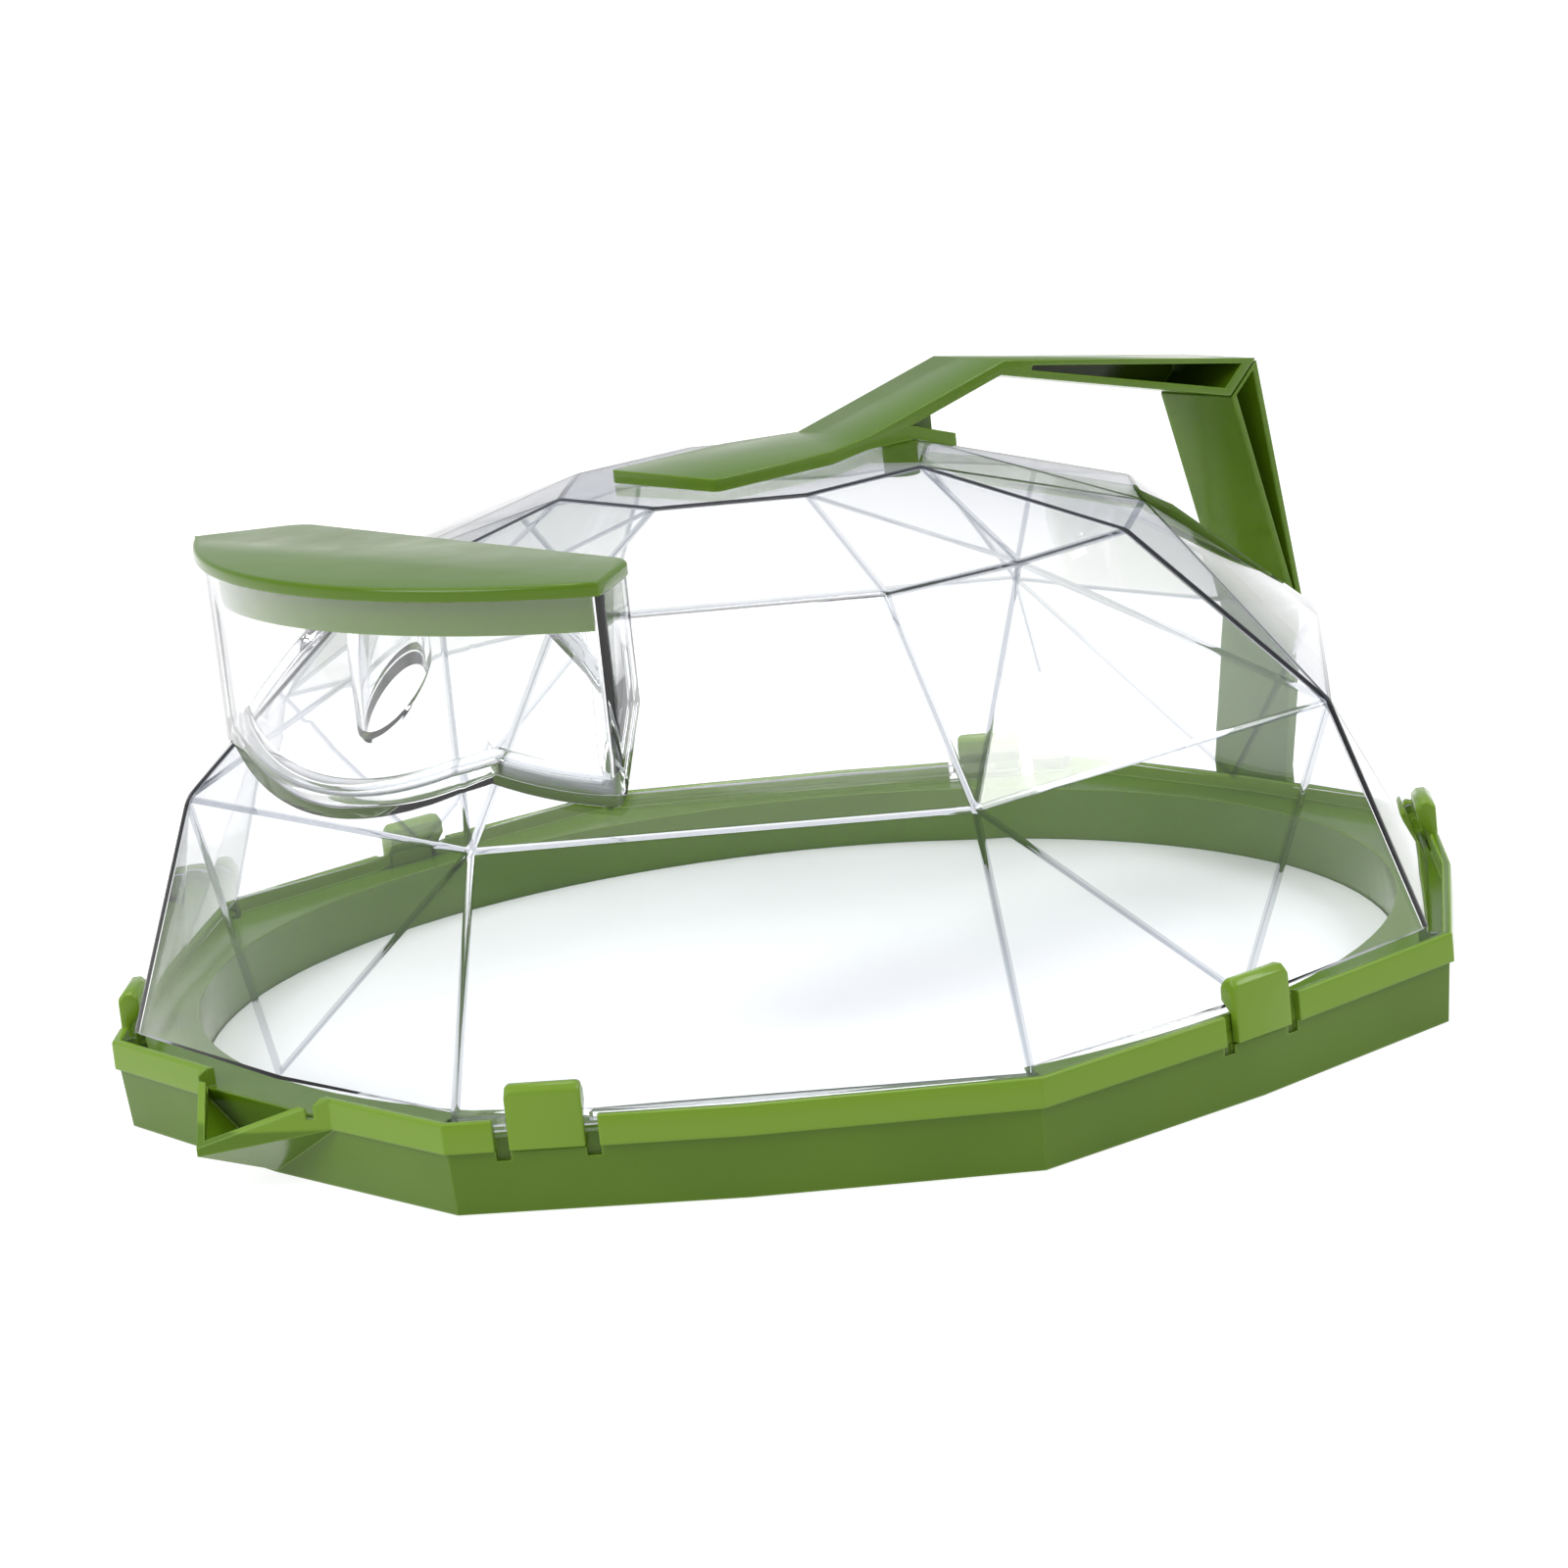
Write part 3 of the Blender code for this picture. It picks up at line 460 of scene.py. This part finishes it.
def pick(piece, kind, test):
    """In edit mode, select the vertices, edges or faces that pass the test, and count them."""
    bpy.ops.mesh.select_mode(type=SELECT_MODES[kind])
    bpy.ops.mesh.select_all(action="DESELECT")
    mesh = bmesh.from_edit_mesh(piece.data)
    found = [item for item in getattr(mesh, kind) if test(item)]
    for item in found:
        item.select_set(True)
    bmesh.update_edit_mesh(piece.data)
    return len(found)


def round_picked(radius, steps):
    """Round the edges that are selected."""
    bpy.ops.mesh.bevel(
        offset=radius, offset_type="OFFSET", segments=steps, affect="EDGES", clamp_overlap=False
    )


def finish_piece(piece, name, body, slot, material, *stands_for):
    """Bake the piece's place into its mesh, smooth it, and let it stand for its CAD nodes."""
    deselect_all()
    piece.select_set(True)
    bpy.context.view_layer.objects.active = piece
    bpy.ops.object.transform_apply(location=True, rotation=True, scale=True)
    bpy.ops.object.shade_smooth_by_angle(angle=SMOOTH_ANGLE)
    piece.name = name
    if material is not None:
        piece.data.materials.clear()
        piece.data.materials.append(material)
    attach(piece, body)
    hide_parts(*stands_for)
    print(name, "has", len(piece.data.polygons), "faces")


def paint_selected(piece, material):
    """In edit mode, give the selected faces a second material."""
    if material.name not in piece.data.materials:
        piece.data.materials.append(material)
    piece.active_material_index = piece.data.materials.find(material.name)
    bpy.ops.object.material_slot_assign()


def merged_copy(node):
    """A copy of a CAD node whose loose triangles are sewn into one skin of flat faces."""
    deselect_all()
    nodes[node].select_set(True)
    bpy.context.view_layer.objects.active = nodes[node]
    bpy.ops.object.duplicate()
    piece = bpy.context.object
    bpy.ops.object.parent_clear(type="CLEAR_KEEP_TRANSFORM")
    for key in ("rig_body", "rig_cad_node"):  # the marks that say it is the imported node
        del piece[key]
    start_editing(piece)
    bpy.ops.mesh.select_all(action="SELECT")
    bpy.ops.mesh.remove_doubles(threshold=WELD)
    bpy.ops.mesh.customdata_custom_splitnormals_clear()
    bpy.ops.mesh.dissolve_limited(angle_limit=FLAT_ENOUGH)
    stop_editing()
    return piece


# %% [markdown]
# ## The faceted cover
#
# The cover is one moulded shell. Seen from above it is an octagon, and it climbs in three bands of flat
# facets. Rings of points at the heights of the folds, wrapped in their convex hull, give those facets at
# once, because the cover bulges outwards everywhere. Six of its sides have a fold down the middle of the
# lowest and the highest band, so those rings get their side middles pushed out. The same is done again
# for the inner skin. The folds are rounded on both skins: that is what bends light into slate lines.

# %% Sizes of the cover
SIDES = 8
CORNER_TURN = math.pi / SIDES
SIDE_TURN = 360 // SIDES
COVER_WALL = 0.0020
OUTER_FOLD_ROUND, INNER_FOLD_ROUND = 0.0008, 0.0005
PLAIN_SIDES = (45, 225)  # sides, in degrees, with no fold down their middle
cover_low, cover_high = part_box("dome_cover")
SKIRT_BOTTOM = cover_low.z
CROWN_HEIGHT = cover_high.z
BASE_HEIGHT = 0.0214
FLANGE_TOP = 0.0202
FLANGE_THICKNESS = 0.0018
FLANGE_REACH = 0.0022
BASE_FLAT, BASE_BEND = 0.1451, 0.0023
SHOULDER_FLAT, SHOULDER_HEIGHT = 0.1279, 0.0726
BROW_FLAT, BROW_BEND, BROW_HEIGHT = 0.0865, 0.0034, 0.1115
CROWN_FLAT = 0.0412
print("cover stands from", round(SKIRT_BOTTOM * 1000, 1), "to", round(CROWN_HEIGHT * 1000, 1), "mm")


# %% [markdown]
# ### Profile and rings
#
# A profile gives the half-width across flats and the height of each ring of folds. The inner skin's
# profile is the outer one moved in, line by line, so that the wall is even.


# %% The inner skin's profile
def shifted_in(profile, distance):
    """A profile of (flat, height) moved in by a distance, with its corners kept sharp."""
    lines = []
    for (flat, z), (next_flat, next_z) in zip(profile, profile[1:]):
        run, rise = next_flat - flat, next_z - z
        length = math.hypot(run, rise)
        lines.append((flat - rise / length * distance, z + run / length * distance, run, rise))
    moved = [(lines[0][0], profile[0][1])]
    for line, next_line in zip(lines, lines[1:]):
        (x, z, run, rise), (other_x, other_z, other_run, other_rise) = line, next_line
        cross = run * other_rise - rise * other_run
        share = ((other_x - x) * other_rise - (other_z - z) * other_run) / cross
        moved.append((x + run * share, z + rise * share))
    return moved


# %% One ring of fold points
def add_ring(flat, bend, z):
    """A ring of corner points. A ring with a bend also has side middles, pushed out by that much."""
    count = 2 * SIDES if bend else SIDES
    turn = 0.0 if bend else CORNER_TURN
    corner_radius = flat / math.cos(CORNER_TURN)
    bpy.ops.mesh.primitive_circle_add(
        vertices=count, radius=corner_radius, location=(0, 0, z), rotation=(0, 0, turn)
    )
    ring = bpy.context.object
    bpy.ops.object.transform_apply(location=True, rotation=True, scale=True)
    if not bend:
        return ring
    start_editing(ring)
    folded_sides = [side for side in range(0, 360, SIDE_TURN) if side not in PLAIN_SIDES]
    for stands_out, sides in ((bend, folded_sides), (0.0, PLAIN_SIDES)):
        pick(ring, "verts", lambda v: side_middle(v.co) in sides)
        factor = (flat + stands_out) / corner_radius
        bpy.ops.transform.resize(value=(factor, factor, 1.0), center_override=(0, 0, z))
    stop_editing()
    return ring


def side_middle(place):
    """The side, in degrees, whose middle this place is on, or None."""
    degrees = math.degrees(math.atan2(place.y, place.x)) % 360
    side = round(degrees / SIDE_TURN) * SIDE_TURN
    return side % 360 if abs(degrees - side) < 1.0 else None


# %% [markdown]
# ### From rings to skins
#
# A wrap of the rings is a closed body with flat facets. It makes a skin once its underside is deleted and
# its folds are rounded. The rounded strips are narrow, which tells them from facets. They get the greyer
# plastic, and the ring of strips at the brow gets the greyest: painted shade that darkens the fold lines.


# %% Wrap rings into a body, and open it into a skin
def wrap_profile(profile):
    """The closed convex body that just holds a profile's four rings of folds, with flat facets."""
    deselect_all()
    circles = [add_ring(flat, bend, z) for (flat, z), bend in zip(profile[1:5], RING_BENDS)]
    for circle in circles:
        circle.select_set(True)
    bpy.ops.object.join()
    body = bpy.context.object
    start_editing(body)
    bpy.ops.mesh.select_all(action="SELECT")
    bpy.ops.mesh.convex_hull(join_triangles=False)
    bpy.ops.mesh.select_all(action="SELECT")
    bpy.ops.mesh.dissolve_limited(angle_limit=FACET_FLAT_ENOUGH)
    stop_editing()
    return body


def make_skin(profile, fold_round):
    """The wrap of a profile, open below, with every fold rounded."""

    def is_strip(face):
        return 2 * face.calc_area() / face.calc_perimeter() < fold_round

    def is_brow_strip(face):
        return is_strip(face) and abs(face.calc_center_median().z - profile[3][1]) < BROW_REACH

    skin = wrap_profile(profile)
    skin.data.materials.append(clear_plastic)
    start_editing(skin)
    pick(skin, "faces", lambda f: f.normal.z < -0.9)
    bpy.ops.mesh.delete(type="ONLY_FACE")
    folds = pick(skin, "edges", lambda e: len(e.link_faces) == 2)
    round_picked(fold_round, 3)
    # The fold strips get greyer plastic and the brow strips the greyest: painted shade for the dark fold
    # lines.
    pick(skin, "faces", is_strip)
    paint_selected(skin, fold_shade_plastic)
    pick(skin, "faces", is_brow_strip)
    paint_selected(skin, brow_shade_plastic)
    stop_editing()
    print("skin from", round(profile[1][1] * 1000, 1), "mm up:", folds, "folds rounded")
    return skin


outer_profile = [
    (BASE_FLAT, SKIRT_BOTTOM),
    (BASE_FLAT, BASE_HEIGHT),
    (SHOULDER_FLAT, SHOULDER_HEIGHT),
    (BROW_FLAT, BROW_HEIGHT),
    (CROWN_FLAT, CROWN_HEIGHT),
    (0.0, CROWN_HEIGHT),
]
RING_BENDS = (BASE_BEND, 0.0, BROW_BEND, 0.0)
BROW_REACH = 0.0015
inner_profile = shifted_in(outer_profile, COVER_WALL)
outer_skin = make_skin(outer_profile, OUTER_FOLD_ROUND)
inner_skin = make_skin(inner_profile, INNER_FOLD_ROUND)

# %% [markdown]
# ### Skirt and flange
#
# Below the facets a short skirt stands in the tray, with a flat flange for the clips to hold. The open
# rim of the outer skin is extruded down, out, down, in and down again. The inner skin's rim goes straight
# down, and a bridge joins the two rims. The plain sides are split in the middle, which is pushed out.
#
# One fault is known. The rim is picked by its height, and rounding the folds lets it dip in the middle of
# a folded side. So those six sides aren't picked, and the bridge closes them without skirt or flange.

# %% Extrude the rims
HEIGHT_SLACK = 0.00002
LONG_SIDE = 0.06


def at_height(point, z):
    return abs(point.co.z - z) < HEIGHT_SLACK


def outwards(side):
    """A flat direction of length 1, square to a side."""
    return Vector((math.cos(math.radians(side)), math.sin(math.radians(side)), 0))


def pull_rim(piece, from_z, drop=0.0, spread=1.0):
    """Extrude the rim at a height down by the drop and outwards by the spread."""
    pick(piece, "edges", lambda e: e.is_boundary and all(at_height(v, from_z) for v in e.verts))
    bpy.ops.mesh.extrude_edges_move(TRANSFORM_OT_translate={"value": (0, 0, -drop)})
    if spread != 1.0:
        bpy.ops.transform.resize(value=(spread, spread, 1.0), center_override=(0, 0, from_z))


start_editing(outer_skin)
for side in PLAIN_SIDES:
    pick(
        outer_skin,
        "edges",
        lambda e: e.is_boundary
        and e.calc_length() > LONG_SIDE
        and side_middle((e.verts[0].co + e.verts[1].co) / 2) == side,
    )
    bpy.ops.mesh.subdivide(number_cuts=1)
flange_spread = (BASE_FLAT + FLANGE_REACH) / BASE_FLAT
flange_bottom = FLANGE_TOP - FLANGE_THICKNESS
pull_rim(outer_skin, BASE_HEIGHT, BASE_HEIGHT - FLANGE_TOP)
pull_rim(outer_skin, FLANGE_TOP, 0.0, flange_spread)
for side in PLAIN_SIDES:
    pick(
        outer_skin,
        "verts",
        lambda v: v.is_boundary and side_middle(v.co) == side and at_height(v, FLANGE_TOP),
    )
    bpy.ops.transform.translate(value=outwards(side) * BASE_BEND)
pull_rim(outer_skin, FLANGE_TOP, FLANGE_THICKNESS)
pull_rim(outer_skin, flange_bottom, 0.0, 1 / flange_spread)
for side in PLAIN_SIDES:
    pick(
        outer_skin,
        "verts",
        lambda v: v.is_boundary and side_middle(v.co) == side and at_height(v, flange_bottom),
    )
    bpy.ops.transform.translate(value=outwards(side) * -BASE_BEND / flange_spread)
pull_rim(outer_skin, flange_bottom, flange_bottom - SKIRT_BOTTOM)
stop_editing()

start_editing(inner_skin)
pull_rim(inner_skin, inner_profile[1][1], inner_profile[1][1] - SKIRT_BOTTOM)
bpy.ops.mesh.select_all(action="SELECT")
bpy.ops.mesh.flip_normals()
stop_editing()
print("flange from", round(flange_bottom * 1000, 1), "to", round(FLANGE_TOP * 1000, 1), "mm")

# %% [markdown]
# ### One shell
#
# The bridge turns the two skins into one closed shell, which a Boolean can cut.

# %% Join the skins at the bottom
deselect_all()
inner_skin.select_set(True)
outer_skin.select_set(True)
bpy.context.view_layer.objects.active = outer_skin
bpy.ops.object.join()
cover = outer_skin
start_editing(cover)
pick(cover, "edges", lambda e: e.is_boundary)
bpy.ops.mesh.bridge_edge_loops()
open_edges = pick(cover, "edges", lambda e: not e.is_manifold)
stop_editing()
print("cover shell:", len(cover.data.polygons), "faces,", open_edges, "open edges")

# %% [markdown]
# ### Holes and notches
#
# A Boolean cuts one closed piece with another. The cover has a hole under the drop tube, a small one for
# the boss under the handle, and a notch in the flange at each clip.


# %% Cut the holes and the clip notches
def combine(piece, other, operation):
    """Join another piece to this one, or cut this one with it. The other is used up."""
    modifier = piece.modifiers.new("Combine", "BOOLEAN")
    modifier.operation = operation
    modifier.solver = "EXACT"
    modifier.object = other
    deselect_all()
    bpy.context.view_layer.objects.active = piece
    bpy.ops.object.modifier_apply(modifier=modifier.name)
    bpy.data.objects.remove(other, do_unlink=True)


TUBE_BORE = 0.0074
BOSS_PLACE, BOSS_HOLE = 0.0470, 0.0045
HOLE_LENGTH, HOLE_MIDDLE = 0.06, 0.1127
NOTCH_SIZE = (0.0100, 0.0172, 0.0024)
CLIP_STEP = 30  # the clips stand at multiples of this, in degrees
tube_low, tube_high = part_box("drop_tube")
tube_middle = (tube_low.x + tube_high.x) / 2
for place, radius in ((tube_middle, TUBE_BORE), (BOSS_PLACE, BOSS_HOLE)):
    deselect_all()
    bpy.ops.mesh.primitive_cylinder_add(
        vertices=64, radius=radius, depth=HOLE_LENGTH, location=(place, 0, HOLE_MIDDLE)
    )
    combine(cover, bpy.context.object, "DIFFERENCE")
for number in range(1, 7):
    clip_low, clip_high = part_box(f"snap_clip_{number}")
    middle = (clip_low + clip_high) / 2
    facing = math.atan2(middle.y, middle.x)
    deselect_all()
    bpy.ops.mesh.primitive_cube_add(
        size=1.0, location=(middle.x, middle.y, (flange_bottom + FLANGE_TOP) / 2)
    )
    cutter = bpy.context.object
    cutter.scale = NOTCH_SIZE
    cutter.rotation_euler = (0, 0, math.radians(round(math.degrees(facing) / CLIP_STEP) * CLIP_STEP))
    combine(cover, cutter, "DIFFERENCE")
finish_piece(cover, "faceted_cover", "cover", "clear_plastic", None, "dome_cover")

# %% [markdown]
# ## The side cup
#
# Seen from above the cup is a slice of a ring: a curved front, two sides that fan out, and a straight
# back. A cylinder cut by three planes gives that outline, so one helper makes the cup's outside, its
# inside, the lid and the lid's skirt, each a little larger or smaller. The cup has no floor of its own.
# It stands on the cover, so its wall is cut off by a body the shape of the cover.

# %% Sizes of the cup
cup_low, cup_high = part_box("cup_wall")
lid_low, lid_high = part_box("cup_lid")
CUP_RADIUS, CUP_CENTRE = 0.1150, -0.0123
CUP_BACK = cup_high.x
CUP_FAN = math.radians(35.8)
CUP_WALL = 0.0024
CUP_CORNER, CUP_INNER_CORNER = 0.0030, 0.0012
FOOT_STEP, FOOT_HEIGHT = 0.0028, 0.0024
CUP_TOP = cup_high.z
CUP_START = BASE_HEIGHT + 0.010
FIT = 0.0003
CUT_PAST = 0.002  # how far a cutter reaches past what it cuts
print("cup front", round(cup_low.x * 1000, 1), "mm, back", round(CUP_BACK * 1000, 1), "mm")


# %% The cup's outline as a block
CORNER_SHARE = 0.75  # of a corner's radius, set back from the corner along each side
CORNER_ANGLE = math.radians(20)


def cup_block(low, high, grow, side_grow, corner):
    """A block with the cup's outline, grown by a margin, its upright corners rounded."""
    deselect_all()
    middle = (CUP_CENTRE, 0, (low + high) / 2)
    bpy.ops.mesh.primitive_cylinder_add(
        vertices=256, radius=CUP_RADIUS + grow, depth=high - low, location=middle
    )
    block = bpy.context.object
    bpy.ops.object.transform_apply(location=True, rotation=True, scale=True)
    start_editing(block)
    cuts = [((CUP_BACK + grow, 0, 0), (1, 0, 0))]
    for side in (-1, 1):
        fan = (math.sin(CUP_FAN), side * math.cos(CUP_FAN), 0)
        cuts.append((tuple(value * side_grow for value in fan), fan))
    keep_below(cuts)
    corners = pick(
        block, "edges", lambda e: e.is_manifold and upright(e) and e.calc_face_angle() > CORNER_ANGLE
    )
    round_picked(corner * CORNER_SHARE, 7)
    stop_editing()
    print("cup block with", corners, "corners rounded")
    return block


def keep_below(cuts):
    """Cut what's being edited with planes, each a point and a normal, and keep what lies under them."""
    for point, normal in cuts:
        bpy.ops.mesh.select_all(action="SELECT")
        bpy.ops.mesh.bisect(plane_co=point, plane_no=normal, use_fill=True, clear_outer=True)


def upright(edge):
    """True on an edge that climbs more than it runs."""
    first, second = (vert.co for vert in edge.verts)
    return abs(first.z - second.z) > 0.9 * edge.calc_length()


# %% [markdown]
# ### Cup wall
#
# The wall is thicker along its foot, where it's joined to the cover. So the hollow is cut in two steps.
# A wide hollow stops a little above the cover, and a narrower one goes right through. The foot's edges are
# rounded, which makes it a bright band with grey lines in it. Its faces that look down get the greyer
# plastic, painted shade that darkens that band.

# %% Cup wall
FOOT_ROUND, FOOT_EDGE = 0.0006, math.radians(30)
FACES_DOWN = -0.12
RIM_HEIGHT = 0.001
cup = cup_block(CUP_START, CUP_TOP, 0.0, 0.0, CUP_CORNER)
cup.data.materials.append(clear_plastic)
hollow_low, hollow_high = CUP_START - CUT_PAST, CUP_TOP + CUT_PAST
wide_hollow = cup_block(hollow_low, hollow_high, -CUP_WALL, -CUP_WALL, CUP_INNER_CORNER)
foot_profile = shifted_in(outer_profile, -FIT - FOOT_HEIGHT)
combine(wide_hollow, wrap_profile(foot_profile), "DIFFERENCE")
combine(cup, wide_hollow, "DIFFERENCE")
foot_grow = -CUP_WALL - FOOT_STEP
narrow_hollow = cup_block(hollow_low, hollow_high, foot_grow, foot_grow, CUP_INNER_CORNER)
combine(cup, narrow_hollow, "DIFFERENCE")
seat_profile = shifted_in(outer_profile, -FIT)
combine(cup, wrap_profile(seat_profile), "DIFFERENCE")
start_editing(cup)
foot = pick(
    cup,
    "edges",
    lambda e: e.is_manifold
    and e.calc_face_angle() > FOOT_EDGE
    and not upright(e)
    and max(v.co.z for v in e.verts) < CUP_TOP - RIM_HEIGHT,
)
round_picked(FOOT_ROUND, 4)
# Faces that look down get the greyer plastic: painted shade that darkens the foot's band.
pick(cup, "faces", lambda f: f.normal.z < FACES_DOWN)
paint_selected(cup, fold_shade_plastic)
stop_editing()
print("cup foot edges rounded:", foot)
finish_piece(cup, "side_cup", "cover", "clear_plastic", None, "cup_wall")

# %% [markdown]
# ### Drop tube
#
# The tube stands inside the cup, over its hole in the cover. It is cut off by the cover as the cup is, so
# its foot is slanted.

# %% Drop tube
TUBE_RADIUS = 0.0089
BORE_PAST = 0.01
tube_length = tube_high.z - CUP_START
tube_place = (tube_middle, 0, (CUP_START + tube_high.z) / 2)
deselect_all()
bpy.ops.mesh.primitive_cylinder_add(
    vertices=96, radius=TUBE_RADIUS, depth=tube_length, location=tube_place
)
tube = bpy.context.object
deselect_all()
bpy.ops.mesh.primitive_cylinder_add(
    vertices=96, radius=TUBE_BORE, depth=tube_length + BORE_PAST, location=tube_place
)
combine(tube, bpy.context.object, "DIFFERENCE")
combine(tube, wrap_profile(seat_profile), "DIFFERENCE")
finish_piece(tube, "drop_chute", "cover", "clear_plastic", clear_plastic, "drop_tube")

# %% [markdown]
# ### The lid
#
# The lid is a flat green plate with a soft top edge. A thin skirt below it plugs into the cup, and shows
# through the clear wall as a green band. A union joins the two.

# %% Lid
LID_THICKNESS, LID_CORNER = 0.0030, 0.0060
LID_PAST_FRONT, LID_PAST_SIDE = 0.0020, 0.0004
LID_TOP_ROUND, LID_UNDER_ROUND = 0.0009, 0.0003
SKIRT_WALL, SKIRT_CORNER, SKIRT_INNER_CORNER = 0.0016, 0.0012, 0.0008
lid_under = lid_high.z - LID_THICKNESS
plate = cup_block(lid_under, lid_high.z, LID_PAST_FRONT, LID_PAST_SIDE, LID_CORNER)
start_editing(plate)
pick(plate, "faces", lambda f: f.normal.z > 0.9)
bpy.ops.mesh.region_to_loop()
round_picked(LID_TOP_ROUND, 4)
pick(plate, "faces", lambda f: f.normal.z < -0.9)
bpy.ops.mesh.region_to_loop()
round_picked(LID_UNDER_ROUND, 2)
stop_editing()
skirt_grow = -CUP_WALL - FIT
skirt = cup_block(lid_low.z, lid_high.z - LID_THICKNESS / 2, skirt_grow, skirt_grow, SKIRT_CORNER)
hollow_grow = skirt_grow - SKIRT_WALL
skirt_hollow = cup_block(lid_low.z - CUT_PAST, lid_under, hollow_grow, hollow_grow, SKIRT_INNER_CORNER)
combine(skirt, skirt_hollow, "DIFFERENCE")
combine(plate, skirt, "UNION")
finish_piece(plate, "lid_plate", "lid", "green_plastic", green_plastic, "cup_lid")

# %% [markdown]
# ## The green mouldings and the disc
#
# The tray, the clips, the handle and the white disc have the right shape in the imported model, but their
# skins are loose triangles with knife edges. A copy is sewn together, and flat areas become single faces.
# On all but the tray every sharp edge is then rounded for real, as a mould would leave it.


# %% Round the edges of a sewn copy
def soften(piece, radius, sharp_angle):
    """Round every edge that turns more than this angle."""
    start_editing(piece)
    sharp = math.radians(sharp_angle)
    count = pick(piece, "edges", lambda e: e.is_manifold and e.calc_face_angle() > sharp)
    bpy.ops.mesh.bevel(
        offset=radius, offset_type="OFFSET", segments=3, affect="EDGES", clamp_overlap=True
    )
    stop_editing()
    print("rounded", count, "edges")


# %% [markdown]
# ### Clips
#
# All six clips are alike. Each is its own piece, because each bends about its own root.

# %% Clips
CLIP_ROUND, CLIP_SHARP = 0.0003, 40
for number in range(1, 7):
    clip = merged_copy(f"snap_clip_{number}")
    soften(clip, CLIP_ROUND, CLIP_SHARP)
    name = f"clip_{number}"
    # The clips get the paler green that is painted for light through thin plastic.
    finish_piece(clip, name, name, "green_plastic", lit_lip_plastic, f"snap_{name}")

# %% [markdown]
# ### Handle
#
# The grip is hollow, and open towards the front only: a thin web shuts it at the back. The web is a flat
# box cut by two slanting planes, one just inside the top of the grip and one just inside its underside.
# The leg below the grip is hollow too, and swings on its own.

# %% Handle
HANDLE_ROUND, HANDLE_SHARP = 0.0004, 30
WEB_MIDDLE, WEB_SIZE = (0.1130, 0.0098, 0.1270), (0.0680, 0.0012, 0.0400)
WEB_SINK = 0.0007  # how deep the web's edges sit in the grip's walls
GRIP_TOP = ((0.0714, 0, 0.1403 - WEB_SINK), (0.1646, 0, 0.9864))
GRIP_UNDER = ((0.0700, 0, 0.1369 + WEB_SINK), (-0.2370, 0, -0.9715))
bar = merged_copy("handle_bar")
soften(bar, HANDLE_ROUND, HANDLE_SHARP)
deselect_all()
bpy.ops.mesh.primitive_cube_add(size=1.0, location=WEB_MIDDLE)
web = bpy.context.object
web.scale = WEB_SIZE
bpy.ops.object.transform_apply(location=True, rotation=True, scale=True)
start_editing(web)
keep_below((GRIP_TOP, GRIP_UNDER))
stop_editing()
deselect_all()
web.select_set(True)
bar.select_set(True)
bpy.context.view_layer.objects.active = bar
bpy.ops.object.join()
finish_piece(bar, "carry_bar", "cover", "green_plastic", green_plastic, "handle_bar")
leg = merged_copy("handle_leg")
soften(leg, HANDLE_ROUND, HANDLE_SHARP)
finish_piece(leg, "carry_leg", "leg", "green_plastic", green_plastic, "handle_leg")

# %% [markdown]
# ### Tray and white disc
#
# The tray keeps its sharp edges, which the material softens. Only its outer lip gets the pale green, the
# painted light through its thin wall. The disc is a plain plate with a rounded rim.

# %% Tray and white disc
LIP_INSIDE, LIP_SLACK = 0.1482, 0.0001
DISC_ROUND, DISC_SHARP = 0.0003, 60


def on_lip(place):
    """True on the lip that runs round the outside of the tray."""
    reach = max(place.dot(outwards(side)) for side in range(0, 360, SIDE_TURN))
    return reach > LIP_INSIDE and place.z > LIP_BOTTOM - LIP_SLACK


tray = merged_copy("tray_body")
tray.data.materials.clear()
tray.data.materials.append(green_plastic)
start_editing(tray)
# The lip gets the paler green: painted light for the light through its thin wall.
lip = pick(tray, "faces", lambda f: on_lip(f.calc_center_median()))
paint_selected(tray, lit_lip_plastic)
stop_editing()
print("lip faces:", lip)
finish_piece(tray, "sand_tray", "tray", "green_plastic", None, "tray_body")
base = merged_copy("tray_floor")
soften(base, DISC_ROUND, DISC_SHARP)
finish_piece(base, "tray_sheet", "tray", "white_sheet", white_sheet, "tray_floor")

# %% [markdown]
# ## Finish
#
# Each piece has already hidden the imported nodes it stands for. The detailed pieces must stay inside the
# imported model's box. The last call brings the view layer up to date.

# %% Finish
bpy.context.view_layer.update()
